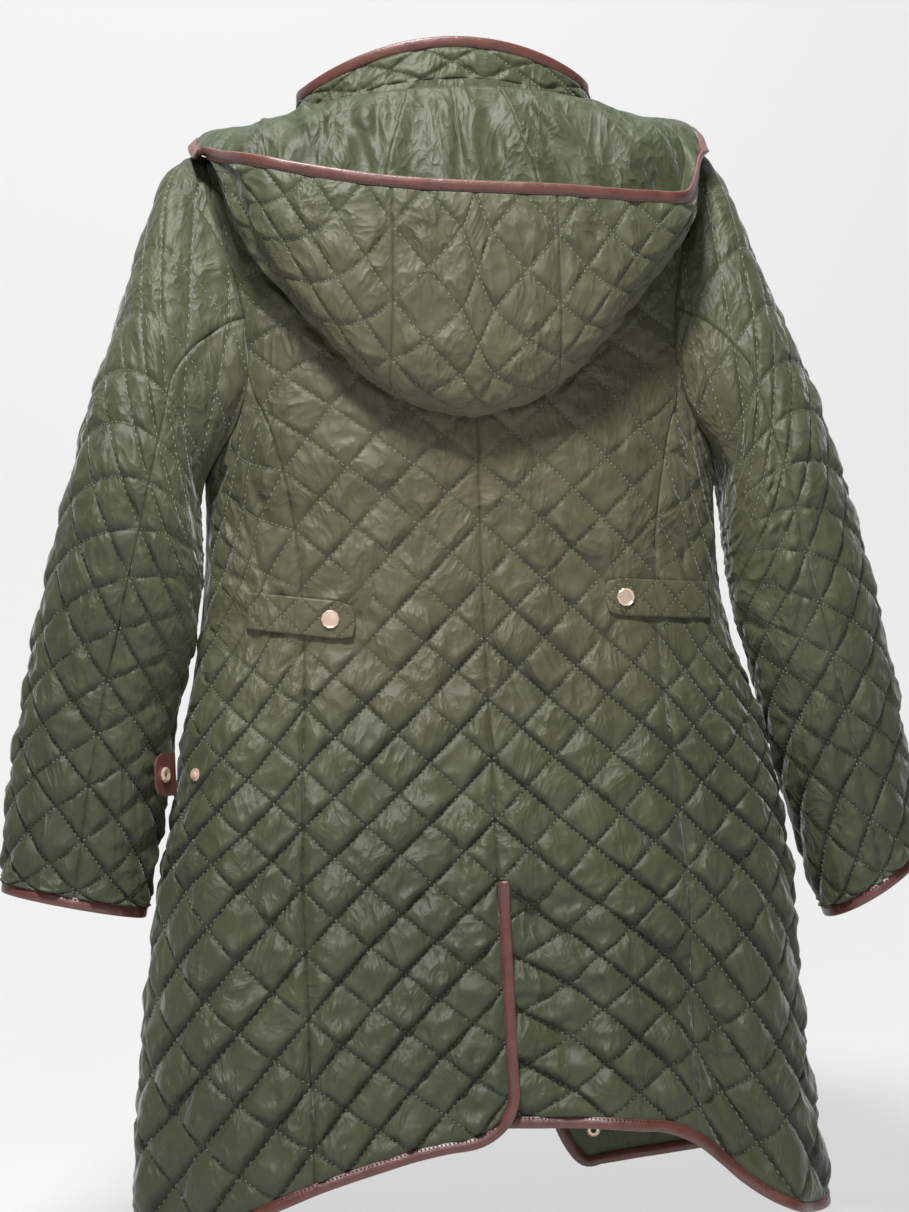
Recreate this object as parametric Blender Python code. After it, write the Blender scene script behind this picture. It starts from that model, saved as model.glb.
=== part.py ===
"""A hooded, thigh-length, diamond-quilted coat, filled out as if worn by nobody.

Metres, +Z up.  The coat faces +Y, so its back looks along -Y, and +X is the wearer's right.
The origin is at the neck, level with the seam between the back and the collar.

Every point of the body lies on one surface, body(angle, level).  The angle goes round the
coat, 0 at the centre back and 180 at the centre front, positive towards the wearer's right.
The level is the height of a ring at the centre back.  Panels are patches of that surface, a
sleeve starts on the armhole loop drawn on it, and what lies on the cloth is lifted off it.
"""
import math

import bpy
import bmesh
from mathutils import Vector

# Driving dimensions
CLOTH = 0.0024            # thickness of the quilted cloth
PUFF = 0.0036             # how far a diamond's middle stands proud of its stitching
SEAM = 0.00016            # half of the gap between two sewn pieces
CENTRE = 0.0045           # the centre back seam lies a little to the wearer's right
BINDING_WIDTH = 0.0088    # leather binding, seen flat
BINDING_THICK = 0.0040
SNAP_DIAMETER = 0.0153

PANEL_COLUMNS = 6         # half diamonds across a back or a side panel
HEM_ROWS = 9              # half diamonds from the hem to the top of the vent
WAIST_ROWS = 17           # from the top of the vent to the top of the side panels
YOKE_ROWS = 4             # over the shoulder
ARM_POINTS = 16           # points on an armhole, and half diamonds round a sleeve
SLEEVE_ROWS = 26
PRINCESS_POINT = 5        # the armhole point where the princess seams end

VENT_TOP = -0.665
VENT_INSET = 0.0075       # the under flap of the vent lies this far inside
VENT_UNDERLAP = 0.026
VENT_BINDING_LIFT = 0.0054   # the binding's upper end lies on the seam
FRONT_LIFT = 0.0085       # the upper front lies this far outside the lower one

ARMHOLE_MID = -0.2075     # armhole loop: middle and half height as levels, half width in degrees
ARMHOLE_HALF = 0.1075
ARMHOLE_SPREAD = 34.0
SHOULDER_LEVEL = ARMHOLE_MID + ARMHOLE_HALF

# Rings of the body.  The side and the front of a ring leave its level above the armpit.
BODY = (
    ("level", "side_z", "front_z", "left", "right", "back", "front", "power"),
    (-0.970, -0.970, -0.970, 0.301, 0.293, 0.112, 0.104, 2.25),
    (-0.900, -0.900, -0.900, 0.299, 0.283, 0.111, 0.102, 2.25),
    (-0.800, -0.800, -0.800, 0.288, 0.271, 0.107, 0.099, 2.25),
    (-0.700, -0.700, -0.700, 0.275, 0.269, 0.101, 0.095, 2.25),
    (-0.600, -0.600, -0.600, 0.254, 0.259, 0.093, 0.089, 2.30),
    (-0.540, -0.540, -0.540, 0.244, 0.247, 0.086, 0.084, 2.35),
    (-0.490, -0.490, -0.490, 0.233, 0.231, 0.080, 0.080, 2.40),
    (-0.440, -0.440, -0.440, 0.224, 0.219, 0.078, 0.078, 2.40),
    (-0.370, -0.370, -0.370, 0.217, 0.216, 0.083, 0.082, 2.40),
    (-0.300, -0.300, -0.300, 0.216, 0.216, 0.091, 0.089, 2.35),
    (-0.200, -0.180, -0.214, 0.212, 0.213, 0.091, 0.086, 2.25),
    (-0.100, -0.053, -0.150, 0.204, 0.207, 0.080, 0.074, 2.15),
    (-0.052, -0.038, -0.124, 0.168, 0.168, 0.074, 0.071, 2.05),
    (0.000, -0.022, -0.104, 0.124, 0.124, 0.066, 0.074, 2.00),
)
# Half distance between the princess seams, from the centre seam
PRINCESS = (
    ("level", "half"),
    (-0.970, 0.160), (-0.810, 0.159), (-0.675, 0.160), (-0.590, 0.155), (-0.460, 0.148),
    (-0.380, 0.151), (-0.306, 0.163), (-0.2486, 0.180),
)
# Lower edge of the cloth with its binding, by the angle round the coat
HEM = (
    ("angle", "left", "right"),
    (0.0, -0.879, -0.866), (10.0, -0.885, -0.869), (20.0, -0.898, -0.874),
    (30.0, -0.912, -0.884), (40.0, -0.927, -0.914), (50.0, -0.937, -0.942),
    (65.0, -0.943, -0.954), (90.0, -0.940, -0.950), (120.0, -0.934, -0.920),
    (150.0, -0.928, -0.930), (165.0, -0.926, -0.936), (180.0, -0.924, -0.937),
)
# Front edges, from the centre: they overlap down to the hip and part below it
FRONT_EDGE = (
    ("level", "left", "right"),
    (-0.970, -0.140, 0.092), (-0.850, -0.100, 0.062), (-0.730, -0.040, 0.012),
    (-0.620, 0.010, -0.018), (-0.500, 0.018, -0.018), (0.000, 0.018, -0.018),
)
# Standing folds: where they run at their top and at the hem, width in degrees, height
FOLDS = (
    ("top_angle", "hem_angle", "width", "height", "top"),
    (33.0, 42.0, 7.0, -0.011, -0.660),
    (44.0, 53.0, 6.0, 0.010, -0.640),
    (17.0, 19.0, 5.0, 0.007, -0.720),
    (-30.0, -33.0, 6.0, 0.006, -0.700),
    (-52.0, -62.0, 8.0, -0.007, -0.640),
    (118.0, 122.0, 9.0, -0.010, -0.620),
    (-120.0, -124.0, 9.0, -0.010, -0.620),
    (24.0, 36.0, 5.0, 0.004, -0.500),
)
# Sleeves: where the outer and the inner edge of each ring lie, and half the depth
SLEEVE_LEFT = (
    ("along", "outer_x", "outer_z", "inner_x", "inner_z", "depth", "forward"),
    (0.00, 0.204, -0.052, 0.2190, -0.315, 0.054, 0.000),
    (0.06, 0.232, -0.062, 0.2225, -0.330, 0.061, -0.004),
    (0.14, 0.258, -0.118, 0.2220, -0.350, 0.065, -0.012),
    (0.24, 0.283, -0.191, 0.2215, -0.374, 0.064, -0.020),
    (0.36, 0.310, -0.266, 0.2225, -0.404, 0.061, -0.026),
    (0.50, 0.339, -0.363, 0.2290, -0.447, 0.057, -0.018),
    (0.66, 0.367, -0.472, 0.2460, -0.512, 0.052, -0.001),
    (0.82, 0.387, -0.566, 0.2630, -0.596, 0.046, 0.008),
    (1.00, 0.399, -0.653, 0.2800, -0.681, 0.040, 0.012),
)
SLEEVE_RIGHT = (
    ("along", "outer_x", "outer_z", "inner_x", "inner_z", "depth", "forward"),
    (0.00, 0.207, -0.052, 0.2190, -0.315, 0.054, 0.000),
    (0.06, 0.229, -0.072, 0.2225, -0.330, 0.061, -0.004),
    (0.14, 0.250, -0.134, 0.2220, -0.350, 0.065, -0.012),
    (0.24, 0.276, -0.204, 0.2210, -0.374, 0.064, -0.020),
    (0.36, 0.303, -0.278, 0.2215, -0.404, 0.062, -0.026),
    (0.50, 0.330, -0.372, 0.2265, -0.442, 0.060, -0.022),
    (0.66, 0.357, -0.482, 0.2450, -0.514, 0.058, -0.012),
    (0.82, 0.375, -0.578, 0.2700, -0.606, 0.054, 0.000),
    (1.00, 0.386, -0.664, 0.3010, -0.713, 0.048, 0.008),
)
# Hood, lying open on the back: the neck edge, the bottom fold and the face edge
HOOD = (
    ("across", "neck_angle", "fold_angle", "fold_level", "rim_x", "rim_y",
     "rim_left", "rim_right", "flat_angle", "flat_level"),
    (0.00, 0.0, 0.0, -0.283, 0.000, -0.138, -0.107, -0.107, 0.0, -0.100),
    (0.20, 17.0, 15.0, -0.262, 0.067, -0.136, -0.101, -0.111, 18.0, -0.100),
    (0.40, 36.0, 34.0, -0.203, 0.132, -0.127, -0.089, -0.116, 40.0, -0.105),
    (0.60, 58.0, 58.0, -0.140, 0.186, -0.104, -0.074, -0.117, 64.0, -0.108),
    (0.74, 74.0, 76.0, -0.068, 0.207, -0.040, -0.061, -0.076, 81.0, -0.098),
    (0.87, 94.0, 95.0, -0.044, 0.192, 0.012, -0.046, -0.046, 99.0, -0.086),
    (1.00, 112.0, 112.0, -0.036, 0.150, 0.060, -0.080, -0.080, 112.0, -0.068),
)
HOOD_SEAM = 0.20          # the hood's two long seams, across
HOOD_CENTRE_COLUMNS = 6
HOOD_SIDE_COLUMNS = 12
HOOD_UNDER_ROWS = 10
HOOD_OVER_ROWS = 8
HOOD_CLEARANCE = 0.0068
HOOD_SEAT = 0.0022        # over the cloth at the neck edge
HOOD_RISE = 0.000         # how far it stands off the shoulders
HOOD_BAG = 0.040          # how far the bottom fold stands out
HOOD_BINDING_GAP = 0.0022  # the face edge turns sharply, so its binding keeps this far off it
HOOD_ROOT = -0.011        # the level of the hood's neck edge

COLLAR_BACK = 0.036
COLLAR_SIDE = 0.025
COLLAR_FRONT = 0.032
COLLAR_END = 171.0
COLLAR_COLUMNS = 24

# Waist tabs: inner and outer end, middle height, its fall over the length, and the cap's place
TABS = {
    -1: {"inner_x": -0.101, "outer_x": -0.188, "middle_z": -0.442, "fall": 0.013, "cap_x": -0.121},
    1: {"inner_x": 0.107, "outer_x": 0.199, "middle_z": -0.440, "fall": 0.007, "cap_x": 0.124},
}
TAB_HEIGHT = 0.031
TAB_LIFT = 0.0009
SNAP_LEVELS = (-0.100, -0.190, -0.280, -0.370, -0.460, -0.550)
SNAP_HEIGHT = 0.0022
SOCKET_PLACE = (0.106, -0.908)   # x and level of the open snap near the hem
STUD_PLACE = (-0.160, -0.900)

# Turned pieces of metal: radius and height of their outlines
CAP_PROFILE = ((0.0, 0.0), (1.0, 0.0), (1.0, 0.70), (0.90, 1.0), (0.78, 0.72), (0.0, 0.86))
STUD_PROFILE = (
    (0.0, 0.0), (0.0058, 0.0), (0.0052, 0.0010), (0.0022, 0.0014), (0.0022, 0.0034), (0.0, 0.0038),
)
SOCKET_RING = (
    (0.0022, 0.0), (0.0060, 0.0), (0.0060, 0.0012), (0.0048, 0.0024), (0.0030, 0.0024), (0.0022, 0.0014),
)
TAB_SOCKET_RING = ((0.0022, 0.0), (0.0066, 0.0), (0.0066, 0.0012), (0.0050, 0.0022), (0.0022, 0.0014))

# The open leather tab at the left side, level with its stud
SIDE_TAB = {
    "level": -0.569, "length": 0.030, "height": 0.036, "thick": 0.0022,
    "root_angle": -84.0, "swing": (-0.55, -0.835, 0.0), "stud_angle": -70.0,
}

QUILTED = ("quilted_nylon", (0.060, 0.085, 0.040), 0.42, 0.0)
LEATHER = ("binding_leather", (0.195, 0.055, 0.040), 0.45, 0.0)
METAL = ("snap_metal", (0.78, 0.55, 0.40), 0.28, 1.0)


def clear_scene():
    """Remove what Blender starts with."""
    for obj in list(bpy.data.objects):
        bpy.data.objects.remove(obj)


def material(finish):
    """Return the material of that name, made once."""
    name, colour, roughness, metallic = finish
    found = bpy.data.materials.get(name)
    if found:
        return found
    made = bpy.data.materials.new(name)
    made.use_nodes = True
    shader = made.node_tree.nodes["Principled BSDF"]
    shader.inputs["Base Color"].default_value = (*colour, 1.0)
    shader.inputs["Roughness"].default_value = roughness
    shader.inputs["Metallic"].default_value = metallic
    return made


def read(table, key):
    """Read a table at a key: a row as a dictionary, smooth between the rows."""
    names, rows = table[0], table[1:]
    key = min(max(key, rows[0][0]), rows[-1][0])
    last = len(rows) - 1
    at = min(max(sum(row[0] <= key for row in rows) - 1, 0), last - 1)
    low, high = rows[at], rows[at + 1]
    before, after = rows[max(at - 1, 0)], rows[min(at + 2, last)]
    span = high[0] - low[0]
    part = (key - low[0]) / span
    found = {}
    for column, name in enumerate(names):
        a, b = low[column], high[column]
        slope_a = (b - before[column]) / (high[0] - before[0]) * span
        slope_b = (after[column] - a) / (after[0] - low[0]) * span
        if (b - a) * (a - before[column]) <= 0.0:
            slope_a = 0.0
        if (b - a) * (after[column] - b) <= 0.0:
            slope_b = 0.0
        found[name] = (
            a * (1 - part) ** 2 * (1 + 2 * part) + b * part ** 2 * (3 - 2 * part)
            + slope_a * part * (1 - part) ** 2 - slope_b * part ** 2 * (1 - part)
        )
    return found


def ramp(value, start, end):
    """0 before start, 1 after end, smooth between."""
    part = min(max((value - start) / (end - start), 0.0), 1.0)
    return part * part * (3 - 2 * part)


def fold_height(angle, level):
    """How far the standing folds lift the cloth."""
    names = FOLDS[0]
    height = 0.0
    for row in FOLDS[1:]:
        fold = dict(zip(names, row))
        down = ramp(-level, -fold["top"], 0.93)
        middle = fold["top_angle"] + (fold["hem_angle"] - fold["top_angle"]) * down
        away = (angle - middle) / fold["width"]
        height += fold["height"] * down * math.exp(-away * away)
    return height


def body(angle, level):
    """The point of the coat's surface at an angle and a level."""
    ring = read(BODY, level)
    turn = math.radians(angle)
    across, along = math.sin(turn), math.cos(turn)
    half = ring["right"] if across > 0 else ring["left"]
    depth = ring["back"] if along > 0 else ring["front"]
    far_z = level if along > 0 else ring["front_z"]
    power = 2.0 / ring["power"]
    x = math.copysign(half * abs(across) ** power, across)
    y = -math.copysign(depth * abs(along) ** power, along)
    z = ring["side_z"] + (far_z - ring["side_z"]) * along * along
    lift = fold_height(angle, level)
    outward = Vector((x / half ** 2, y / depth ** 2, 0.0)).normalized()
    return Vector((x, y, z)) + outward * lift


def body_normal(angle, level):
    """The direction out of the coat's surface."""
    step = 0.4
    rise = 0.004
    top = min(level + rise, 0.0)
    around = body(angle + step, level) - body(angle - step, level)
    up = body(angle, top) - body(angle, top - 2 * rise)
    return around.cross(up).normalized()


def angle_at(x, level, face):
    """The angle of the point at x on the back or the front of a ring."""
    ring = read(BODY, level)
    half = ring["right"] if x > 0 else ring["left"]
    share = min(abs(x) / half, 1.0) ** (ring["power"] / 2.0)
    turn = math.degrees(math.asin(share))
    if face == "front":
        turn = 180.0 - turn
    return math.copysign(turn, x)


def hem_level(angle):
    """The level of the lower edge of the cloth, above its binding."""
    row = read(HEM, abs(angle))
    share = ramp(angle, -4.0, 4.0) if abs(angle) < 90 else float(angle > 0)
    return row["left"] + (row["right"] - row["left"]) * share + BINDING_WIDTH


def armhole(side, point):
    """Angle and level of a point of the armhole: 0 at the top, then the back, 8 at the armpit."""
    turn = 2 * math.pi * point / ARM_POINTS
    spread = ARMHOLE_SPREAD * (1 - 0.35 * math.cos(turn)) * math.sin(turn)
    level = ARMHOLE_MID + ARMHOLE_HALF * math.cos(turn)
    return side * (90.0 - spread), level


def princess_angle(side, face, level):
    """The angle of a princess seam at a level."""
    if level > armhole(1, PRINCESS_POINT)[1] - 0.0005:
        point = PRINCESS_POINT if face == "back" else ARM_POINTS - PRINCESS_POINT
        return armhole(side, point)[0]
    half = read(PRINCESS, level)["half"]
    centre = CENTRE if face == "back" else 0.0
    return angle_at(centre + side * half, level, face)


class Sheet:
    """A grid of points on the cloth's outer side, with the direction out of it at each."""

    def __init__(self, rows, columns, point, normal):
        self.rows = rows
        self.columns = columns
        self.points = [[point(r, c) for c in range(columns + 1)] for r in range(rows + 1)]
        self.normals = [[normal(r, c) for c in range(columns + 1)] for r in range(rows + 1)]
        self.puff = [[1.0] * (columns + 1) for _ in range(rows + 1)]
        self.lining = [[0.0] * (columns + 1) for _ in range(rows + 1)]

    def on_rim(self, r, c):
        return r in (0, self.rows) or c in (0, self.columns)

    def pull_in(self):
        """Leave half of the sewing gap all round."""
        moved = [[point.copy() for point in row] for row in self.points]
        for r in range(self.rows + 1):
            for c in range(self.columns + 1):
                if not self.on_rim(r, c):
                    continue
                inner_r = min(max(r, 1), self.rows - 1)
                inner_c = min(max(c, 1), self.columns - 1)
                here = self.points[r][c]
                step = Vector()
                for target in (self.points[inner_r][c], self.points[r][inner_c]):
                    if (target - here).length > 1e-6:
                        step += (target - here).normalized() * SEAM
                moved[r][c] = here + step
        self.points = moved


def build_wall(name, sheet, finish):
    """Close a sheet into a wall: diamonds raised outside, plain inside."""
    mesh = bmesh.new()
    rows, columns = sheet.rows, sheet.columns
    outer = []
    inner = []
    for r in range(rows + 1):
        outer_row = []
        inner_row = []
        for c in range(columns + 1):
            raised = (r + c) % 2 == 0 and not sheet.on_rim(r, c)
            lift = PUFF * sheet.puff[r][c] if raised else 0.0
            point, normal = sheet.points[r][c], sheet.normals[r][c]
            outer_row.append(mesh.verts.new(point + normal * lift))
            if r % 2 == 0:
                depth = CLOTH + sheet.lining[r][c]
                inner_row.append(mesh.verts.new(point - normal * depth))
        outer.append(outer_row)
        if inner_row:
            inner.append(inner_row)
    for r in range(rows):
        for c in range(columns):
            a, b = outer[r][c], outer[r][c + 1]
            d, e = outer[r + 1][c], outer[r + 1][c + 1]
            if (r + c) % 2 == 0:
                mesh.faces.new((a, b, d))
                mesh.faces.new((b, e, d))
            else:
                mesh.faces.new((a, b, e))
                mesh.faces.new((a, e, d))
    for r in range(rows // 2):
        for c in range(columns):
            mesh.faces.new((inner[r][c], inner[r + 1][c], inner[r + 1][c + 1], inner[r][c + 1]))
        for c in (0, columns):
            low, mid, high = outer[2 * r][c], outer[2 * r + 1][c], outer[2 * r + 2][c]
            mesh.faces.new((low, mid, inner[r][c]))
            mesh.faces.new((mid, high, inner[r + 1][c], inner[r][c]))
    for outer_row, inner_row in ((outer[0], inner[0]), (outer[-1], inner[-1])):
        for c in range(columns):
            mesh.faces.new((outer_row[c], outer_row[c + 1], inner_row[c + 1], inner_row[c]))
    return finish_object(name, mesh, finish)


def finish_object(name, mesh, finish):
    """Turn a bmesh into a named object with its material."""
    bmesh.ops.recalc_face_normals(mesh, faces=mesh.faces)
    data = bpy.data.meshes.new(name)
    mesh.to_mesh(data)
    mesh.free()
    data.materials.append(material(finish))
    obj = bpy.data.objects.new(name, data)
    bpy.context.collection.objects.link(obj)
    return obj


def arc_angles(start, end, level, count):
    """Angles that divide a stretch of a ring into equal lengths."""
    steps = 40
    angles = [start + (end - start) * i / steps for i in range(steps + 1)]
    points = [body(angle, level) for angle in angles]
    lengths = [0.0]
    for a, b in zip(points, points[1:]):
        lengths.append(lengths[-1] + (b - a).length)
    found = []
    at = 0
    for i in range(count + 1):
        target = lengths[-1] * i / count
        while at < steps - 1 and lengths[at + 1] < target:
            at += 1
        part = (target - lengths[at]) / max(lengths[at + 1] - lengths[at], 1e-9)
        found.append(angles[at] + (angles[at + 1] - angles[at]) * min(part, 1.0))
    return found


def front_edge_angle(side, level):
    """The angle of a front's free edge."""
    row = read(FRONT_EDGE, level)
    x = row["right"] if side > 0 else row["left"]
    angle = angle_at(x, level, "front")
    return angle if angle * side > 0 else angle + 360.0 * side


def front_lift(side, angle, level):
    """How far the upper front is carried by the lower one."""
    if side < 0 or angle < 90.0:
        return 0.0
    x = body(angle, level).x
    return FRONT_LIFT * (1 - ramp(x, 0.035, 0.100)) * (1 - ramp(-level, 0.72, 0.86))


def vent_inset(side, angle, level, column):
    """How far inside the under flap of the vent lies, and how far it reaches across."""
    if side < 0 or level > VENT_TOP:
        return 0.0, 0.0
    drop = VENT_TOP - level
    inset = VENT_INSET * ramp(drop, 0.0, 0.016) * (1 - ramp(column, 1.0, 3.2))
    reach = VENT_UNDERLAP * ramp(drop, 0.019, 0.048) * max(1 - column / 2.0, 0.0)
    return inset, reach


def seam_angle(side, face, level):
    """The angle of the centre seam or of a front edge."""
    if face == "back":
        return angle_at(CENTRE, level, "back")
    return front_edge_angle(side, level)


def arm_inward(side, point, on_sleeve):
    """The direction out of the cloth at the armhole, shared where the cloth bends outward."""
    angle, level = armhole(side, point)
    from_body = body_normal(angle, level)
    from_sleeve = sleeve_normal(side, 0.012, point)
    share = ramp(from_body.dot(from_sleeve), -0.2, 0.5)
    if on_sleeve:
        return (from_sleeve + from_body * share).normalized()
    return (from_body + from_sleeve * share).normalized()


def loop_point(side, point):
    """A point of the armhole, with straight cloth between its whole-numbered points."""
    low = math.floor(point)
    share = point - low
    a = body(*armhole(side, low))
    b = body(*armhole(side, low + 1))
    return a.lerp(b, share)


def under_tab(point):
    """True where the cloth lies flat under a waist tab."""
    for side in (-1, 1):
        tab = TABS[side]
        middle = (tab["inner_x"] + tab["outer_x"]) / 2
        if abs(point.x - middle) < 0.060 and abs(point.z - tab["middle_z"]) < 0.034 and point.y < 0:
            return True
    return False


def by_stud(point):
    """True where the cloth lies flat under a stud."""
    side_stud = body(SIDE_TAB["stud_angle"], SIDE_TAB["level"])
    front_stud = on_cloth(STUD_PLACE[0], STUD_PLACE[1], 0.0, "front")[0]
    return min((point - side_stud).length, (point - front_stud).length) < 0.030


def panel_sheet(side, face, part):
    """A body panel as a sheet: rows from the hem up, columns away from the centre."""
    is_side = part == "side"
    lower = HEM_ROWS + WAIST_ROWS
    arm_rows = 2 * PRINCESS_POINT
    rows = lower if is_side else lower + arm_rows + YOKE_ROWS
    columns = PANEL_COLUMNS
    turn = 1 if face == "back" else -1
    princess_point = PRINCESS_POINT if face == "back" else ARM_POINTS - PRINCESS_POINT
    to_arm = lower + arm_rows
    loop_at = {}
    if is_side:
        for c in range(columns + 1):
            loop_at[(rows, c)] = princess_point + turn * c / 2
    else:
        for r in range(lower, to_arm + 1):
            loop_at[(r, columns)] = princess_point - turn * (r - lower) / 2

    def edge_level(r):
        if r <= lower:
            top = armhole(side, princess_point)[1]
            return VENT_TOP + (top - VENT_TOP) * (r - HEM_ROWS) / WAIST_ROWS
        if r <= to_arm:
            return armhole(side, princess_point - turn * (r - lower) / 2)[1]
        return SHOULDER_LEVEL * (1 - (r - to_arm) / YOKE_ROWS)

    def level_of(r, c):
        share = c / columns
        if r < HEM_ROWS:
            level = -0.90
            for _ in range(2):
                level = hem_level(angle_of(r, c, level))
            return level + (VENT_TOP - level) * r / HEM_ROWS
        if is_side:
            top = armhole(side, princess_point + turn * c / 2)[1]
            return VENT_TOP + (top - VENT_TOP) * (r - HEM_ROWS) / WAIST_ROWS
        if r >= to_arm:
            return edge_level(r)
        if r <= lower:
            return edge_level(r)
        top = edge_level(lower)
        middle = top + (SHOULDER_LEVEL - top) * (r - lower) / arm_rows
        return middle + (edge_level(r) - middle) * share ** 1.5

    def angle_of(r, c, level):
        if is_side:
            start = princess_angle(side, face, level)
            angle = arc_angles(start, 90.0 * side, level, columns)[c]
            if r > HEM_ROWS and 0 < c < columns:
                share = ((r - HEM_ROWS) / WAIST_ROWS) ** 3
                top = armhole(side, princess_point + turn * c / 2)[0]
                angle += (top - angle) * share
            return angle
        start = seam_angle(side, face, level)
        if r < lower:
            end = princess_angle(side, face, level)
        elif r < to_arm:
            end = armhole(side, princess_point - turn * (r - lower) / 2)[0]
        else:
            end = 90.0 * side
        return arc_angles(start, end, level, columns)[c]

    places = {}
    for r in range(rows + 1):
        for c in range(columns + 1):
            level = level_of(r, c)
            places[(r, c)] = (angle_of(r, c, level), level)

    def point(r, c):
        if (r, c) in loop_at:
            return loop_point(side, loop_at[(r, c)])
        angle, level = places[(r, c)]
        found = body(angle, level)
        normal = body_normal(angle, level)
        found += normal * front_lift(side, angle, level)
        if face == "back" and not is_side:
            inset, reach = vent_inset(side, angle, level, c)
            found -= normal * inset
            found.x -= reach
        return found

    def normal(r, c):
        if (r, c) in loop_at:
            return arm_inward(side, loop_at[(r, c)], False)
        return body_normal(*places[(r, c)])

    sheet = Sheet(rows, columns, point, normal)
    for (r, c), (angle, level) in places.items():
        under_hood = abs(angle) < 118 and level > -0.112
        by_sleeve = 80 < abs(angle) < 102 and level > -0.54
        here = sheet.points[r][c]
        if under_hood or by_sleeve or under_tab(here) or by_stud(here):
            sheet.puff[r][c] = 0.0
        if face == "front" and not is_side and c == 1:
            sheet.puff[r][c] = 0.0
    if not is_side:
        round_corner(sheet, face)
    return sheet


def round_corner(sheet, face):
    """Round the free lower corner of a back or a front."""
    corner = sheet.points[0][0]
    cut = 0.30 if face == "back" else 0.38
    sheet.points[0][0] = corner + (sheet.points[1][0] - corner) * cut + (sheet.points[0][1] - corner) * cut


def sleeve_point(side, along, point):
    """A point of a sleeve: along 0 to 1 from the armhole to the cuff, round it by armhole points."""
    ring = read(SLEEVE_LEFT if side < 0 else SLEEVE_RIGHT, along)
    outer = Vector((side * ring["outer_x"], ring["forward"], ring["outer_z"]))
    inner = Vector((side * ring["inner_x"], ring["forward"], ring["inner_z"]))
    turn = 2 * math.pi * point / ARM_POINTS
    across, behind = math.cos(turn), math.sin(turn)
    middle, half = (outer + inner) / 2, (outer - inner) / 2
    found = middle + half * across + Vector((0.0, -ring["depth"] * behind, 0.0))
    fade = 1 - ramp(along, 0.0, 0.17)
    if fade > 0:
        first = read(SLEEVE_LEFT if side < 0 else SLEEVE_RIGHT, 0.0)
        top = Vector((side * first["outer_x"], 0.0, first["outer_z"]))
        low = Vector((side * first["inner_x"], 0.0, first["inner_z"]))
        plain = (top + low) / 2 + (top - low) / 2 * across + Vector((0.0, -first["depth"] * behind, 0.0))
        found += (body(*armhole(side, point)) - plain) * fade
    return found


def sleeve_normal(side, along, point):
    """The direction out of a sleeve."""
    step = 0.12
    rise = 0.010
    low = max(along - rise, 0.0)
    high = min(along + rise, 1.0)
    around = sleeve_point(side, along, point + step) - sleeve_point(side, along, point - step)
    down = sleeve_point(side, high, point) - sleeve_point(side, low, point)
    return around.cross(down).normalized() * side


def sleeve_sheet(side, first, last):
    """The part of a sleeve between two armhole points."""
    def point(r, c):
        if r == 0:
            return loop_point(side, first + c) + Vector((side * 2 * SEAM, 0.0, 0.0))
        return sleeve_point(side, r / SLEEVE_ROWS, first + c)

    def normal(r, c):
        if r == 0:
            return arm_inward(side, first + c, True)
        return sleeve_normal(side, r / SLEEVE_ROWS, first + c)

    sheet = Sheet(SLEEVE_ROWS, last - first, point, normal)
    for r in range(SLEEVE_ROWS + 1):
        for c in range(last - first + 1):
            from_body = abs((first + c) % ARM_POINTS - ARM_POINTS / 2)
            if from_body < 2.5 and r < 0.72 * SLEEVE_ROWS:
                sheet.puff[r][c] = 0.0 if r < 0.5 * SLEEVE_ROWS else 0.4
    return sheet


def hood_rise(share):
    """How far the hood stands off the shoulder."""
    return HOOD_RISE * ramp(share, 0.45, 0.62) * (1 - ramp(share, 0.80, 1.0))


def hood_point(across, down):
    """A point of the hood: across -1 to 1, down 0 at the neck, 1 at the fold, 2 at the face edge."""
    side = 1 if across > 0 else -1
    share = min(abs(across), 1.0)
    row = read(HOOD, share)
    if down <= 1.0:
        angle = row["neck_angle"] + (row["fold_angle"] - row["neck_angle"]) * down
        level = HOOD_ROOT + (row["fold_level"] - HOOD_ROOT) * down
        reach = 0.15 + 0.55 * ramp(share, 0.45, 0.75)
        clear = HOOD_SEAT + (HOOD_CLEARANCE - HOOD_SEAT) * ramp(down, 0.0, reach)
        clear += hood_rise(share) * ramp(down, 0.0, 1.0)
        return body(side * angle, level) + body_normal(side * angle, level) * clear
    part = down - 1.0
    fold = hood_point(across, 1.0)
    out = body_normal(side * row["fold_angle"], row["fold_level"])
    rim_z = row["rim_right"] if side > 0 else row["rim_left"]
    rim = Vector((side * row["rim_x"] + CENTRE, row["rim_y"], rim_z))
    size = 1 - 0.80 * ramp(share, 0.25, 0.76)
    first = fold + out * HOOD_BAG * size + Vector((0.0, 0.0, -0.014 * size))
    second = rim + Vector((0.0, -0.004, -0.085 * size))
    rest = 1 - part
    hung = fold * rest ** 3 + first * 3 * rest ** 2 * part + second * 3 * rest * part ** 2 + rim * part ** 3
    flat = ramp(share, 0.54, 0.80)
    if flat == 0.0:
        return hung
    angle = row["fold_angle"] + (row["flat_angle"] - row["fold_angle"]) * part
    level = row["fold_level"] + (row["flat_level"] - row["fold_level"]) * part
    clear = HOOD_CLEARANCE + 0.005 * part + hood_rise(share)
    laid = body(side * angle, level) + body_normal(side * angle, level) * clear
    return hung.lerp(laid, flat)


def hood_normal(across, down):
    """The direction out of the hood's quilted side."""
    step = 0.02
    over = hood_point(across + step, down) - hood_point(across - step, down)
    low, high = max(down - 0.06, 0.0), min(down + 0.06, 2.0)
    along = hood_point(across, high) - hood_point(across, low)
    return over.cross(along).normalized()


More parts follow.
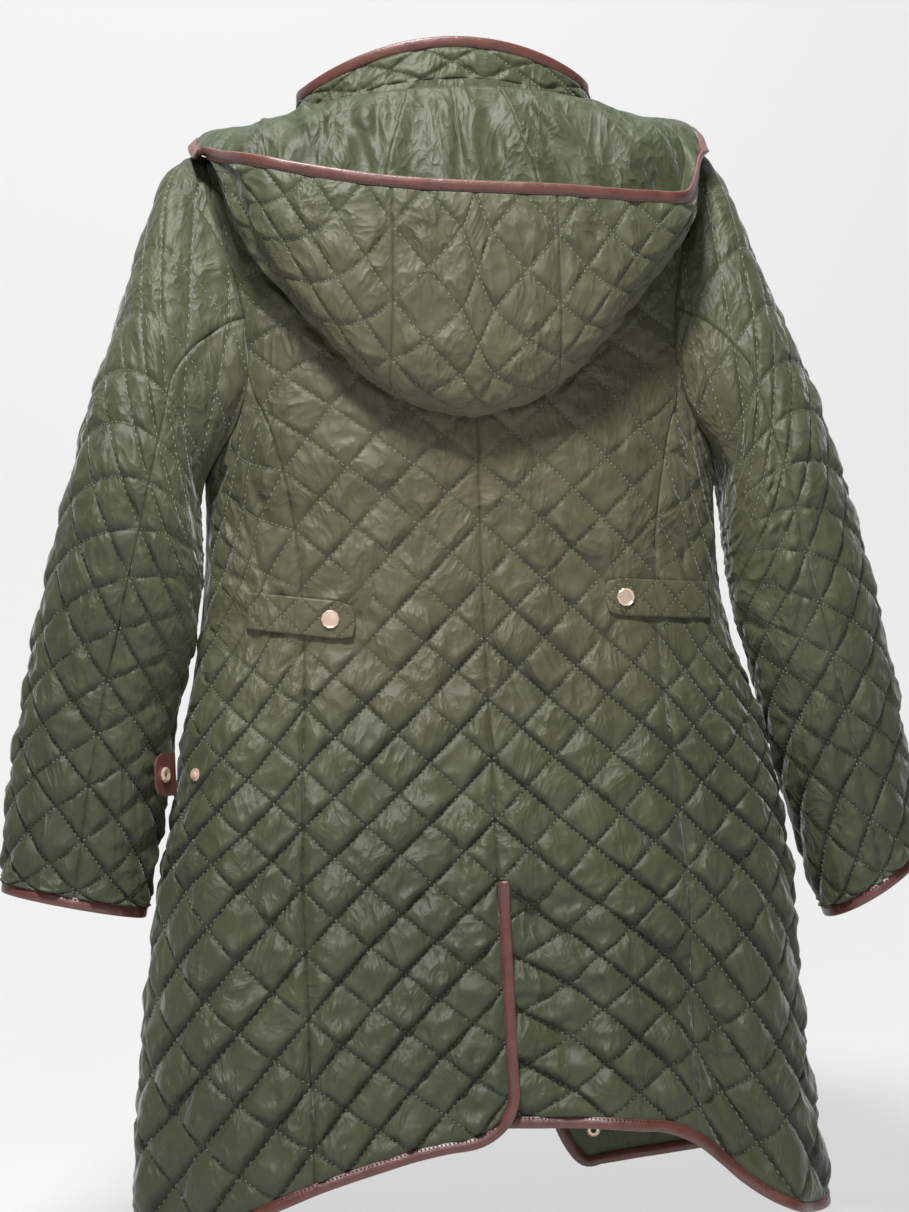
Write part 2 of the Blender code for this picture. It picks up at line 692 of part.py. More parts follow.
def hood_sheet(start, end, columns):
    """The part of the hood between two places across."""
    def place(r, c):
        across = start + (end - start) * c / columns
        across = min(max(across, -0.985), 0.985)
        if r <= HOOD_UNDER_ROWS:
            return across, r / HOOD_UNDER_ROWS
        return across, 1 + (r - HOOD_UNDER_ROWS) / HOOD_OVER_ROWS

    def point(r, c):
        return hood_point(*place(r, c))

    def normal(r, c):
        return hood_normal(*place(r, c))

    sheet = Sheet(HOOD_UNDER_ROWS + HOOD_OVER_ROWS, columns, point, normal)
    for r in range(sheet.rows + 1):
        for c in range(columns + 1):
            across, down = place(r, c)
            sheet.puff[r][c] = ramp(down, 1.0, 1.15) * (1 - ramp(abs(across), 0.55, 0.7))
            if r == sheet.rows:
                sheet.lining[r][c] = -0.4 * CLOTH
            if 0 < r < HOOD_UNDER_ROWS and c % 2 == 0:
                gather = 0.0045 * (1 - ramp(down, 0.45, 0.9)) * (1 - ramp(abs(across), 0.6, 0.75))
                sheet.lining[r][c] = gather
    return sheet


def collar_sheet():
    """The standing collar, from the left front end round the back to the right one."""
    angles = arc_angles(-COLLAR_END, COLLAR_END, 0.0, COLLAR_COLUMNS)

    def place(r, c):
        angle = angles[c]
        side = 1 if angle > 0 else -1
        base = body(angle, 0.0) + body_normal(angle, 0.0) * front_lift(side, angle, 0.0)
        along = body(angle + 1.0, 0.0) - body(angle - 1.0, 0.0)
        along.z = 0.0
        out = along.cross(Vector((0.0, 0.0, 1.0))).normalized()
        facing = math.cos(math.radians(angle))
        end = COLLAR_BACK if facing > 0 else COLLAR_FRONT
        rise = COLLAR_SIDE + (end - COLLAR_SIDE) * facing * facing - BINDING_WIDTH
        lean = -0.004 * facing if facing > 0 else 0.004 * facing
        share = r / 2
        start = Vector((0.0, 0.0, 0.0010))
        return base + start + Vector((0.0, 0.0, rise)) * share + out * lean * share, out

    def point(r, c):
        return place(r, c)[0]

    def normal(r, c):
        return place(r, c)[1]

    sheet = Sheet(2, COLLAR_COLUMNS, point, normal)
    for c in range(COLLAR_COLUMNS + 1):
        sheet.puff[1][c] = 0.55
    return sheet


def row_edge(sheet, r, columns):
    """Points and normals along a row of a sheet."""
    return [(sheet.points[r][c], sheet.normals[r][c]) for c in columns]


def column_edge(sheet, c, rows):
    """Points and normals along a column of a sheet."""
    return [(sheet.points[r][c], sheet.normals[r][c]) for r in rows]


def join_edges(*edges):
    """One path from several, without doubled points."""
    path = []
    for edge in edges:
        for point, normal in edge:
            if not path or (point - path[-1][0]).length > 0.002:
                path.append((point, normal))
    return path


def build_binding(name, path, hand, closed=False, gap=5 * SEAM):
    """A folded leather strip just beyond an edge of the cloth.  hand says on which side it lies."""
    mesh = bmesh.new()
    count = len(path)
    rings = []
    for i, (point, normal) in enumerate(path):
        before = path[(i - 1) % count][0] if closed or i > 0 else point
        after = path[(i + 1) % count][0] if closed or i < count - 1 else point
        into, onward = point - before, after - point
        arms = [arm.normalized() for arm in (into, onward) if arm.length > 1e-6]
        tangent = (arms[0] + arms[-1]).normalized()
        out = tangent.cross(normal).normalized() * hand
        across = out.cross(tangent).normalized()
        turn = max(arms[0].dot(tangent), 0.75)
        middle = point - normal * CLOTH / 2
        half = BINDING_THICK / 2
        near, far = gap / turn, BINDING_WIDTH / turn
        section = ((near, half), (far, 0.7 * half), (far, -0.7 * half), (near, -half))
        rings.append([mesh.verts.new(middle + out * a + across * b) for a, b in section])
    sides = len(rings[0])
    for i in range(count if closed else count - 1):
        ring, following = rings[i], rings[(i + 1) % count]
        for k in range(sides):
            m = (k + 1) % sides
            mesh.faces.new((ring[k], ring[m], following[m], following[k]))
    if not closed:
        mesh.faces.new(rings[0])
        mesh.faces.new(rings[-1])
    return finish_object(name, mesh, LEATHER)


def build_turned(name, place, direction, profile, segments=10, closed=False):
    """A turned piece of metal: profile is (radius, height) from the axis out and back to it."""
    mesh = bmesh.new()
    axis = direction.normalized()
    side = axis.cross(Vector((0.0, 0.0, 1.0))).normalized()
    up = side.cross(axis)
    rings = []
    for radius, height in profile:
        centre = place + axis * height
        if radius == 0.0:
            rings.append([mesh.verts.new(centre)])
            continue
        ring = []
        for k in range(segments):
            turn = 2 * math.pi * k / segments
            ring.append(mesh.verts.new(centre + (side * math.cos(turn) + up * math.sin(turn)) * radius))
        rings.append(ring)
    pairs = list(zip(rings, rings[1:]))
    if closed:
        pairs.append((rings[-1], rings[0]))
    for ring, following in pairs:
        for k in range(segments):
            m = (k + 1) % segments
            if len(ring) == 1:
                mesh.faces.new((ring[0], following[k], following[m]))
            elif len(following) == 1:
                mesh.faces.new((ring[k], ring[m], following[0]))
            else:
                mesh.faces.new((ring[k], ring[m], following[m], following[k]))
    return finish_object(name, mesh, METAL)


def on_cloth(x, level, lift, face="back"):
    """A point at x, lifted off the back or the front, and the direction out of the cloth."""
    angle = angle_at(x, level, face)
    normal = body_normal(angle, level)
    return body(angle, level) + normal * lift, normal


def on_ring(angle, level, lift):
    """A point at an angle, lifted off the cloth, and the direction out of the cloth."""
    normal = body_normal(angle, level)
    return body(angle, level) + normal * lift, normal


def tab_place(side, x, share, lift):
    """A point of a waist tab: share runs from its lower edge to its upper one."""
    tab = TABS[side]
    along = (x - tab["inner_x"]) / (tab["outer_x"] - tab["inner_x"])
    fall = tab["fall"] * (0.5 - along) if side < 0 else tab["fall"] * (along - 0.5)
    level = tab["middle_z"] - fall + TAB_HEIGHT * (share - 0.5)
    return on_cloth(x, level, lift)


def build_tab(side):
    """A waist tab, sewn down at its outer end and snapped at its inner one."""
    tab = TABS[side]
    columns = 6
    label = "left" if side < 0 else "right"

    def place(r, c):
        x = tab["inner_x"] + (tab["outer_x"] - tab["inner_x"]) * c / columns
        share = r / 2
        if c == 0 and r != 1:
            x += (tab["outer_x"] - tab["inner_x"]) * 0.03
            share += 0.09 if r == 0 else -0.09
        return tab_place(side, x, share, TAB_LIFT + CLOTH)

    sheet = Sheet(2, columns, lambda r, c: place(r, c)[0], lambda r, c: place(r, c)[1])
    for c in range(columns + 1):
        sheet.puff[1][c] = 0.0
    build_wall("waist_tab_" + label, sheet, QUILTED)
    cap, normal = tab_place(side, tab["cap_x"], 0.5, TAB_LIFT + CLOTH + 2 * SEAM)
    build_cap("waist_snap_cap_" + label, cap, normal)


def build_cap(name, place, normal):
    """A plain domed snap cap with a raised rim."""
    radius = SNAP_DIAMETER / 2
    profile = [(across * radius, up * SNAP_HEIGHT) for across, up in CAP_PROFILE]
    build_turned(name, place, normal, profile)


def build_front_snaps():
    """The caps down the closed front, and the open socket and stud near the hem."""
    for number, level in enumerate(SNAP_LEVELS):
        angle = angle_at(0.006, level, "front")
        normal = body_normal(angle, level)
        lift = front_lift(1, angle, level) + 4 * SEAM
        build_cap("front_snap_cap_%d" % (number + 1), body(angle, level) + normal * lift, normal)
    socket, normal = on_cloth(SOCKET_PLACE[0], SOCKET_PLACE[1], -CLOTH - 3 * SEAM, "front")
    build_turned("front_snap_socket", socket, -normal, SOCKET_RING, closed=True)
    stud, normal = on_cloth(STUD_PLACE[0], STUD_PLACE[1], SEAM, "front")
    build_turned("front_snap_stud", stud, normal, STUD_PROFILE)


def build_side_tab():
    """A leather tab at the left side seam, open, with its socket, and its stud on the cloth."""
    level = SIDE_TAB["level"]
    root = on_ring(SIDE_TAB["root_angle"], level, PUFF + 2 * SEAM)[0]
    swing = Vector(SIDE_TAB["swing"]).normalized()
    facing = Vector((-swing.y, swing.x, 0.0))
    length, half, thick = SIDE_TAB["length"], SIDE_TAB["height"] / 2, SIDE_TAB["thick"]
    outline = ((0.0, -half), (0.62 * length, -half), (0.87 * length, -0.84 * half),
               (length, -0.5 * half), (length, 0.5 * half), (0.87 * length, 0.84 * half),
               (0.62 * length, half), (0.0, half))
    mesh = bmesh.new()
    flat = [root + swing * a + Vector((0.0, 0.0, b)) for a, b in outline]
    near = [mesh.verts.new(point) for point in flat]
    far = [mesh.verts.new(point - facing * thick) for point in flat]
    mesh.faces.new(near)
    mesh.faces.new(far)
    for i in range(len(outline)):
        j = (i + 1) % len(outline)
        mesh.faces.new((near[i], near[j], far[j], far[i]))
    finish_object("side_tab", mesh, LEATHER)
    socket = root + swing * 0.58 * length + facing * 2 * SEAM
    build_turned("side_tab_socket", socket, facing, TAB_SOCKET_RING, closed=True)
    stud, normal = on_ring(SIDE_TAB["stud_angle"], level, SEAM)
    build_turned("side_stud", stud, normal, STUD_PROFILE)


def build_body():
    """The eight panels of the body; returns their sheets before the sewing gaps."""
    sheets = {}
    for side, label in ((-1, "left"), (1, "right")):
        for face in ("back", "front"):
            for part in ("middle", "side"):
                sheet = panel_sheet(side, face, part)
                kept = [[p.copy() for p in row] for row in sheet.points]
                name = face if part == "middle" else "side_" + face
                sheet.pull_in()
                build_wall(name + "_" + label, sheet, QUILTED)
                sheet.points = kept
                sheets[(side, face, part)] = sheet
    return sheets


def build_edge_bindings(sheets):
    """The binding of each half: down the vent, along the hem and up the front."""
    across = range(PANEL_COLUMNS + 1)
    for side, label in ((-1, "left"), (1, "right")):
        back, side_back = sheets[(side, "back", "middle")], sheets[(side, "back", "side")]
        front, side_front = sheets[(side, "front", "middle")], sheets[(side, "front", "side")]
        vent = column_edge(back, 0, range(HEM_ROWS if side < 0 else HEM_ROWS - 2, 0, -1))
        if side < 0:
            vent[0] = (vent[0][0] + vent[0][1] * VENT_BINDING_LIFT, vent[0][1])
        path = join_edges(
            vent, row_edge(back, 0, across),
            row_edge(side_back, 0, across), row_edge(side_front, 0, reversed(across)),
            row_edge(front, 0, reversed(across)), column_edge(front, 0, range(1, front.rows + 1)),
        )
        build_binding("hem_binding_" + label, path, side)


def build_sleeves():
    """Both sleeves: an upper and an under part, and the cuff's binding."""
    quarter = ARM_POINTS // 4
    for side, label in ((-1, "left"), (1, "right")):
        rims = []
        for part, first in (("upper", 3 * quarter), ("under", quarter)):
            sheet = sleeve_sheet(side, first, first + 2 * quarter)
            rims.append(row_edge(sheet, SLEEVE_ROWS, range(2 * quarter)))
            sheet.pull_in()
            build_wall("sleeve_%s_%s" % (part, label), sheet, QUILTED)
        build_binding("cuff_binding_" + label, rims[0] + rims[1], -side, closed=True)


def build_hood():
    """The hood in three parts, and the binding of its face edge."""
    spans = (
        ("left", -1.0, -HOOD_SEAM, HOOD_SIDE_COLUMNS),
        ("centre", -HOOD_SEAM, HOOD_SEAM, HOOD_CENTRE_COLUMNS),
        ("right", HOOD_SEAM, 1.0, HOOD_SIDE_COLUMNS),
    )
    path = []
    for label, start, end, columns in spans:
        sheet = hood_sheet(start, end, columns)
        top = sheet.rows
        if label == "left":
            path = join_edges(path, column_edge(sheet, 0, range(1, top)))
        path = join_edges(path, row_edge(sheet, top, range(columns + 1)))
        if label == "right":
            path = join_edges(path, column_edge(sheet, columns, range(top - 1, 0, -1)))
        sheet.pull_in()
        build_wall("hood_" + label, sheet, QUILTED)
    build_binding("hood_binding", path, -1, gap=HOOD_BINDING_GAP)


def build_collar():
    """The collar and its binding."""
    sheet = collar_sheet()
    path = row_edge(sheet, 2, range(COLLAR_COLUMNS + 1))
    build_wall("collar", sheet, QUILTED)
    build_binding("collar_binding", path, -1)


def main():
    clear_scene()
    sheets = build_body()
    build_edge_bindings(sheets)
    build_sleeves()
    build_hood()
    build_collar()
    for side in (-1, 1):
        build_tab(side)
    build_side_tab()
    build_front_snaps()


main()
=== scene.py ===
"""Looks of the quilted coat: fine quilting, stitching, creases, leather binding, light and camera.

The coat's surface is worked out from the same sizes as its solids, and then drawn finely:
every panel is a grid of half diamonds, filled in with smooth points and quilted.
"""
import math

import bmesh
import bpy
import numpy as np
from mathutils import Matrix, Vector


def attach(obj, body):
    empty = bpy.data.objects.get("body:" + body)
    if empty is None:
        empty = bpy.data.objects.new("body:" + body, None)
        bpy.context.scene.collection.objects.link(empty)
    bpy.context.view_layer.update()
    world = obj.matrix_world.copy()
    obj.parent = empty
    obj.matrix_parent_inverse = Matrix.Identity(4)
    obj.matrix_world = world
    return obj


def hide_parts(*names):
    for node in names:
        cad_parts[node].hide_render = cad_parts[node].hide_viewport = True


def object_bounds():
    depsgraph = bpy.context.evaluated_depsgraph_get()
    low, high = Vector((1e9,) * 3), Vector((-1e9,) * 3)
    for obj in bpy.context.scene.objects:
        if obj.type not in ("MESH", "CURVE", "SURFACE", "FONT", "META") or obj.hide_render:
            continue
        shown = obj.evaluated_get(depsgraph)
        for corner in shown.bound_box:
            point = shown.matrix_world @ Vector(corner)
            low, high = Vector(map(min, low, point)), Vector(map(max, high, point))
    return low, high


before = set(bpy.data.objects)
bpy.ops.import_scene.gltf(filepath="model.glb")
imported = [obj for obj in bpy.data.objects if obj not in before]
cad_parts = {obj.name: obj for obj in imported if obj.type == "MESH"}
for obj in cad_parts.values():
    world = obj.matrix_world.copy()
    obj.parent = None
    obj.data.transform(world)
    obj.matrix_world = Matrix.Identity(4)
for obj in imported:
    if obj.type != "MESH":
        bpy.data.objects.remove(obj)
CAD_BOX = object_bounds()

# Driving dimensions
CLOTH = 0.0024            # thickness of the quilted cloth
PUFF = 0.0036             # how far a diamond's middle stands proud of its stitching
SEAM = 0.00016            # half of the gap between two sewn pieces
CENTRE = 0.0045           # the centre back seam lies a little to the wearer's right
BINDING_WIDTH = 0.0088    # leather binding, seen flat
BINDING_THICK = 0.0040

PANEL_COLUMNS = 6         # half diamonds across a panel of the body
HEM_ROWS = 9              # half diamonds from the hem to the top of the vent
WAIST_ROWS = 17           # from the top of the vent to the top of the side panels
YOKE_ROWS = 4             # over the shoulder
ARM_POINTS = 16           # points on an armhole, and half diamonds round a sleeve
SLEEVE_ROWS = 26
PRINCESS_POINT = 5        # the armhole point where the princess seams end

VENT_TOP = -0.665
VENT_INSET = 0.0075       # the under flap of the vent lies this far inside
VENT_UNDERLAP = 0.026
VENT_BINDING_LIFT = 0.0054   # the binding's upper end lies on the seam
FRONT_LIFT = 0.0085       # the upper front lies this far outside the lower one

ARMHOLE_MID = -0.2075     # armhole loop: middle and half height as levels, half width in degrees
ARMHOLE_HALF = 0.1075
ARMHOLE_SPREAD = 34.0
SHOULDER_LEVEL = ARMHOLE_MID + ARMHOLE_HALF

# Rings of the body.  The side and the front of a ring leave its level above the armpit.
BODY = (
    ("level", "side_z", "front_z", "left", "right", "back", "front", "power"),
    (-0.970, -0.970, -0.970, 0.301, 0.293, 0.112, 0.104, 2.25),
    (-0.900, -0.900, -0.900, 0.299, 0.283, 0.111, 0.102, 2.25),
    (-0.800, -0.800, -0.800, 0.288, 0.271, 0.107, 0.099, 2.25),
    (-0.700, -0.700, -0.700, 0.275, 0.269, 0.101, 0.095, 2.25),
    (-0.600, -0.600, -0.600, 0.254, 0.259, 0.093, 0.089, 2.30),
    (-0.540, -0.540, -0.540, 0.244, 0.247, 0.086, 0.084, 2.35),
    (-0.490, -0.490, -0.490, 0.233, 0.231, 0.080, 0.080, 2.40),
    (-0.440, -0.440, -0.440, 0.224, 0.219, 0.078, 0.078, 2.40),
    (-0.370, -0.370, -0.370, 0.217, 0.216, 0.083, 0.082, 2.40),
    (-0.300, -0.300, -0.300, 0.216, 0.216, 0.091, 0.089, 2.35),
    (-0.200, -0.180, -0.214, 0.212, 0.213, 0.091, 0.086, 2.25),
    (-0.100, -0.053, -0.150, 0.204, 0.207, 0.080, 0.074, 2.15),
    (-0.052, -0.038, -0.124, 0.168, 0.168, 0.074, 0.071, 2.05),
    (0.000, -0.022, -0.104, 0.124, 0.124, 0.066, 0.074, 2.00),
)
# Half distance between the princess seams, from the centre seam
PRINCESS = (
    ("level", "half"),
    (-0.970, 0.160), (-0.810, 0.159), (-0.675, 0.160), (-0.590, 0.155), (-0.460, 0.148),
    (-0.380, 0.151), (-0.306, 0.163), (-0.2486, 0.180),
)
# Lower edge of the cloth with its binding, by the angle round the coat
HEM = (
    ("angle", "left", "right"),
    (0.0, -0.879, -0.866), (10.0, -0.885, -0.869), (20.0, -0.898, -0.874),
    (30.0, -0.912, -0.884), (40.0, -0.927, -0.914), (50.0, -0.937, -0.942),
    (65.0, -0.943, -0.954), (90.0, -0.940, -0.950), (120.0, -0.934, -0.920),
    (150.0, -0.928, -0.930), (165.0, -0.926, -0.936), (180.0, -0.924, -0.937),
)
# Front edges, from the centre: they overlap down to the hip and part below it
FRONT_EDGE = (
    ("level", "left", "right"),
    (-0.970, -0.140, 0.092), (-0.850, -0.100, 0.062), (-0.730, -0.040, 0.012),
    (-0.620, 0.010, -0.018), (-0.500, 0.018, -0.018), (0.000, 0.018, -0.018),
)
# Standing folds: where they run at their top and at the hem, width in degrees, height
FOLDS = (
    ("top_angle", "hem_angle", "width", "height", "top"),
    (33.0, 42.0, 7.0, -0.011, -0.660),
    (44.0, 53.0, 6.0, 0.010, -0.640),
    (17.0, 19.0, 5.0, 0.007, -0.720),
    (-30.0, -33.0, 6.0, 0.006, -0.700),
    (-52.0, -62.0, 8.0, -0.007, -0.640),
    (118.0, 122.0, 9.0, -0.010, -0.620),
    (-120.0, -124.0, 9.0, -0.010, -0.620),
    (24.0, 36.0, 5.0, 0.004, -0.500),
)
# Sleeves: where the outer and the inner edge of each ring lie, and half the depth
SLEEVE_LEFT = (
    ("along", "outer_x", "outer_z", "inner_x", "inner_z", "depth", "forward"),
    (0.00, 0.204, -0.052, 0.2190, -0.315, 0.054, 0.000),
    (0.06, 0.232, -0.062, 0.2225, -0.330, 0.061, -0.004),
    (0.14, 0.258, -0.118, 0.2220, -0.350, 0.065, -0.012),
    (0.24, 0.283, -0.191, 0.2215, -0.374, 0.064, -0.020),
    (0.36, 0.310, -0.266, 0.2225, -0.404, 0.061, -0.026),
    (0.50, 0.339, -0.363, 0.2290, -0.447, 0.057, -0.018),
    (0.66, 0.367, -0.472, 0.2460, -0.512, 0.052, -0.001),
    (0.82, 0.387, -0.566, 0.2630, -0.596, 0.046, 0.008),
    (1.00, 0.399, -0.653, 0.2800, -0.681, 0.040, 0.012),
)
SLEEVE_RIGHT = (
    ("along", "outer_x", "outer_z", "inner_x", "inner_z", "depth", "forward"),
    (0.00, 0.207, -0.052, 0.2190, -0.315, 0.054, 0.000),
    (0.06, 0.229, -0.072, 0.2225, -0.330, 0.061, -0.004),
    (0.14, 0.250, -0.134, 0.2220, -0.350, 0.065, -0.012),
    (0.24, 0.276, -0.204, 0.2210, -0.374, 0.064, -0.020),
    (0.36, 0.303, -0.278, 0.2215, -0.404, 0.062, -0.026),
    (0.50, 0.330, -0.372, 0.2265, -0.442, 0.060, -0.022),
    (0.66, 0.357, -0.482, 0.2450, -0.514, 0.058, -0.012),
    (0.82, 0.375, -0.578, 0.2700, -0.606, 0.054, 0.000),
    (1.00, 0.386, -0.664, 0.3010, -0.713, 0.048, 0.008),
)
# Hood, lying open on the back: the neck edge, the bottom fold and the face edge
HOOD = (
    ("across", "neck_angle", "fold_angle", "fold_level", "rim_x", "rim_y",
     "rim_left", "rim_right", "flat_angle", "flat_level"),
    (0.00, 0.0, 0.0, -0.283, 0.000, -0.138, -0.107, -0.107, 0.0, -0.100),
    (0.20, 17.0, 15.0, -0.262, 0.067, -0.136, -0.101, -0.111, 18.0, -0.100),
    (0.40, 36.0, 34.0, -0.203, 0.132, -0.127, -0.089, -0.116, 40.0, -0.105),
    (0.60, 58.0, 58.0, -0.140, 0.186, -0.104, -0.074, -0.117, 64.0, -0.108),
    (0.74, 74.0, 76.0, -0.068, 0.207, -0.040, -0.061, -0.076, 81.0, -0.098),
    (0.87, 94.0, 95.0, -0.044, 0.192, 0.012, -0.046, -0.046, 99.0, -0.086),
    (1.00, 112.0, 112.0, -0.036, 0.150, 0.060, -0.080, -0.080, 112.0, -0.068),
)
HOOD_SEAM = 0.20          # the hood's two long seams, across
HOOD_REACH = 0.985        # the hood's cloth ends just short of its table, across
HOOD_CENTRE_COLUMNS = 6
HOOD_SIDE_COLUMNS = 12
HOOD_UNDER_ROWS = 10
HOOD_OVER_ROWS = 8
HOOD_CLEARANCE = 0.0068
HOOD_SEAT = 0.0022        # over the cloth at the neck edge
HOOD_BAG = 0.040          # how far the bottom fold stands out
HOOD_ROOT = -0.011        # the level of the hood's neck edge

COLLAR_BACK = 0.036
COLLAR_SIDE = 0.025
COLLAR_FRONT = 0.032
COLLAR_END = 171.0
COLLAR_LEAN = 0.004       # how far its top leans inward at the back and the front
COLLAR_SUNK = 0.0030      # it starts this far below the body's upper edge
COLLAR_SEAT = 0.0008
COLLAR_COLUMNS = 24

# Waist tabs: inner and outer end, middle height, its fall over the length, and the cap's place
TABS = {
    -1: {"inner_x": -0.101, "outer_x": -0.188, "middle_z": -0.442, "fall": 0.013, "cap_x": -0.121},
    1: {"inner_x": 0.107, "outer_x": 0.199, "middle_z": -0.440, "fall": 0.007, "cap_x": 0.124},
}
TAB_HEIGHT = 0.031
TAB_LIFT = 0.0009
FRONT_STUD = (-0.160, -0.900)    # x and level of the stud on the left front
SIDE_STUD = (-70.0, -0.569)      # angle and level of the side tab's stud


def read(table, key):
    """Read a table at a key: a row as a dictionary, smooth between the rows."""
    names, rows = table[0], table[1:]
    key = min(max(key, rows[0][0]), rows[-1][0])
    last = len(rows) - 1
    at = min(max(sum(row[0] <= key for row in rows) - 1, 0), last - 1)
    low, high = rows[at], rows[at + 1]
    before, after = rows[max(at - 1, 0)], rows[min(at + 2, last)]
    span = high[0] - low[0]
    part = (key - low[0]) / span
    found = {}
    for column, name in enumerate(names):
        a, b = low[column], high[column]
        slope_a = (b - before[column]) / (high[0] - before[0]) * span
        slope_b = (after[column] - a) / (after[0] - low[0]) * span
        if (b - a) * (a - before[column]) <= 0.0:
            slope_a = 0.0
        if (b - a) * (after[column] - b) <= 0.0:
            slope_b = 0.0
        found[name] = (
            a * (1 - part) ** 2 * (1 + 2 * part) + b * part ** 2 * (3 - 2 * part)
            + slope_a * part * (1 - part) ** 2 - slope_b * part ** 2 * (1 - part)
        )
    return found


def ramp(value, start, end):
    """0 before start, 1 after end, smooth between."""
    part = min(max((value - start) / (end - start), 0.0), 1.0)
    return part * part * (3 - 2 * part)


def fold_height(angle, level):
    """How far the standing folds lift the cloth."""
    names = FOLDS[0]
    height = 0.0
    for row in FOLDS[1:]:
        fold = dict(zip(names, row))
        down = ramp(-level, -fold["top"], 0.93)
        middle = fold["top_angle"] + (fold["hem_angle"] - fold["top_angle"]) * down
        away = (angle - middle) / fold["width"]
        height += fold["height"] * down * math.exp(-away * away)
    return height


def body(angle, level):
    """The point of the coat's surface at an angle and a level."""
    ring = read(BODY, level)
    turn = math.radians(angle)
    across, along = math.sin(turn), math.cos(turn)
    half = ring["right"] if across > 0 else ring["left"]
    depth = ring["back"] if along > 0 else ring["front"]
    far_z = level if along > 0 else ring["front_z"]
    power = 2.0 / ring["power"]
    x = math.copysign(half * abs(across) ** power, across)
    y = -math.copysign(depth * abs(along) ** power, along)
    z = ring["side_z"] + (far_z - ring["side_z"]) * along * along
    lift = fold_height(angle, level)
    outward = Vector((x / half ** 2, y / depth ** 2, 0.0)).normalized()
    return Vector((x, y, z)) + outward * lift


def body_normal(angle, level):
    """The direction out of the coat's surface."""
    step = 0.4
    rise = 0.004
    top = min(level + rise, 0.0)
    around = body(angle + step, level) - body(angle - step, level)
    up = body(angle, top) - body(angle, top - 2 * rise)
    return around.cross(up).normalized()


def angle_at(x, level, face):
    """The angle of the point at x on the back or the front of a ring."""
    ring = read(BODY, level)
    half = ring["right"] if x > 0 else ring["left"]
    share = min(abs(x) / half, 1.0) ** (ring["power"] / 2.0)
    turn = math.degrees(math.asin(share))
    if face == "front":
        turn = 180.0 - turn
    return math.copysign(turn, x)


def hem_level(angle):
    """The level of the lower edge of the cloth, above its binding."""
    row = read(HEM, abs(angle))
    share = ramp(angle, -4.0, 4.0) if abs(angle) < 90 else float(angle > 0)
    return row["left"] + (row["right"] - row["left"]) * share + BINDING_WIDTH


def armhole(side, point):
    """Angle and level of a point of the armhole: 0 at the top, then the back, 8 at the armpit."""
    turn = 2 * math.pi * point / ARM_POINTS
    spread = ARMHOLE_SPREAD * (1 - 0.35 * math.cos(turn)) * math.sin(turn)
    level = ARMHOLE_MID + ARMHOLE_HALF * math.cos(turn)
    return side * (90.0 - spread), level


def princess_angle(side, face, level):
    """The angle of a princess seam at a level."""
    if level > armhole(1, PRINCESS_POINT)[1] - 0.0005:
        point = PRINCESS_POINT if face == "back" else ARM_POINTS - PRINCESS_POINT
        return armhole(side, point)[0]
    half = read(PRINCESS, level)["half"]
    centre = CENTRE if face == "back" else 0.0
    return angle_at(centre + side * half, level, face)


class Sheet:
    """A grid of points on the cloth's outer side, with the direction out of it at each."""

    def __init__(self, rows, columns, place):
        self.rows = rows
        self.columns = columns
        made = [[place(r, c) for c in range(columns + 1)] for r in range(rows + 1)]
        self.points = [[point for point, _ in row] for row in made]
        self.normals = [[normal for _, normal in row] for row in made]
        self.puff = [[1.0] * (columns + 1) for _ in range(rows + 1)]
        self.lining = [[0.0] * (columns + 1) for _ in range(rows + 1)]


def arc_angles(start, end, level, count):
    """Angles that divide a stretch of a ring into equal lengths."""
    steps = 40
    angles = [start + (end - start) * i / steps for i in range(steps + 1)]
    points = [body(angle, level) for angle in angles]
    lengths = [0.0]
    for a, b in zip(points, points[1:]):
        lengths.append(lengths[-1] + (b - a).length)
    found = []
    at = 0
    for i in range(count + 1):
        target = lengths[-1] * i / count
        while at < steps - 1 and lengths[at + 1] < target:
            at += 1
        part = (target - lengths[at]) / max(lengths[at + 1] - lengths[at], 1e-9)
        found.append(angles[at] + (angles[at + 1] - angles[at]) * min(part, 1.0))
    return found


def front_edge_angle(side, level):
    """The angle of a front's free edge."""
    row = read(FRONT_EDGE, level)
    x = row["right"] if side > 0 else row["left"]
    angle = angle_at(x, level, "front")
    return angle if angle * side > 0 else angle + 360.0 * side


def front_lift(side, angle, level):
    """How far the upper front is carried by the lower one."""
    if side < 0 or angle < 90.0:
        return 0.0
    x = body(angle, level).x
    return FRONT_LIFT * (1 - ramp(x, 0.035, 0.100)) * (1 - ramp(-level, 0.72, 0.86))


def vent_inset(side, angle, level, column):
    """How far inside the under flap of the vent lies, and how far it reaches across."""
    if side < 0 or level > VENT_TOP:
        return 0.0, 0.0
    drop = VENT_TOP - level
    inset = VENT_INSET * ramp(drop, 0.0, 0.016) * (1 - ramp(column, 1.0, 3.2))
    reach = VENT_UNDERLAP * ramp(drop, 0.019, 0.048) * max(1 - column / 2.0, 0.0)
    return inset, reach


def seam_angle(side, face, level):
    """The angle of the centre seam or of a front edge."""
    if face == "back":
        return angle_at(CENTRE, level, "back")
    return front_edge_angle(side, level)


def arm_inward(side, point, on_sleeve):
    """The direction out of the cloth at the armhole, shared where the cloth bends outward."""
    angle, level = armhole(side, point)
    from_body = body_normal(angle, level)
    from_sleeve = sleeve_normal(side, 0.012, point)
    share = ramp(from_body.dot(from_sleeve), -0.2, 0.5)
    if on_sleeve:
        return (from_sleeve + from_body * share).normalized()
    return (from_body + from_sleeve * share).normalized()


def loop_point(side, point):
    """A point of the armhole, with straight cloth between its whole-numbered points."""
    low = math.floor(point)
    share = point - low
    a = body(*armhole(side, low))
    b = body(*armhole(side, low + 1))
    return a.lerp(b, share)


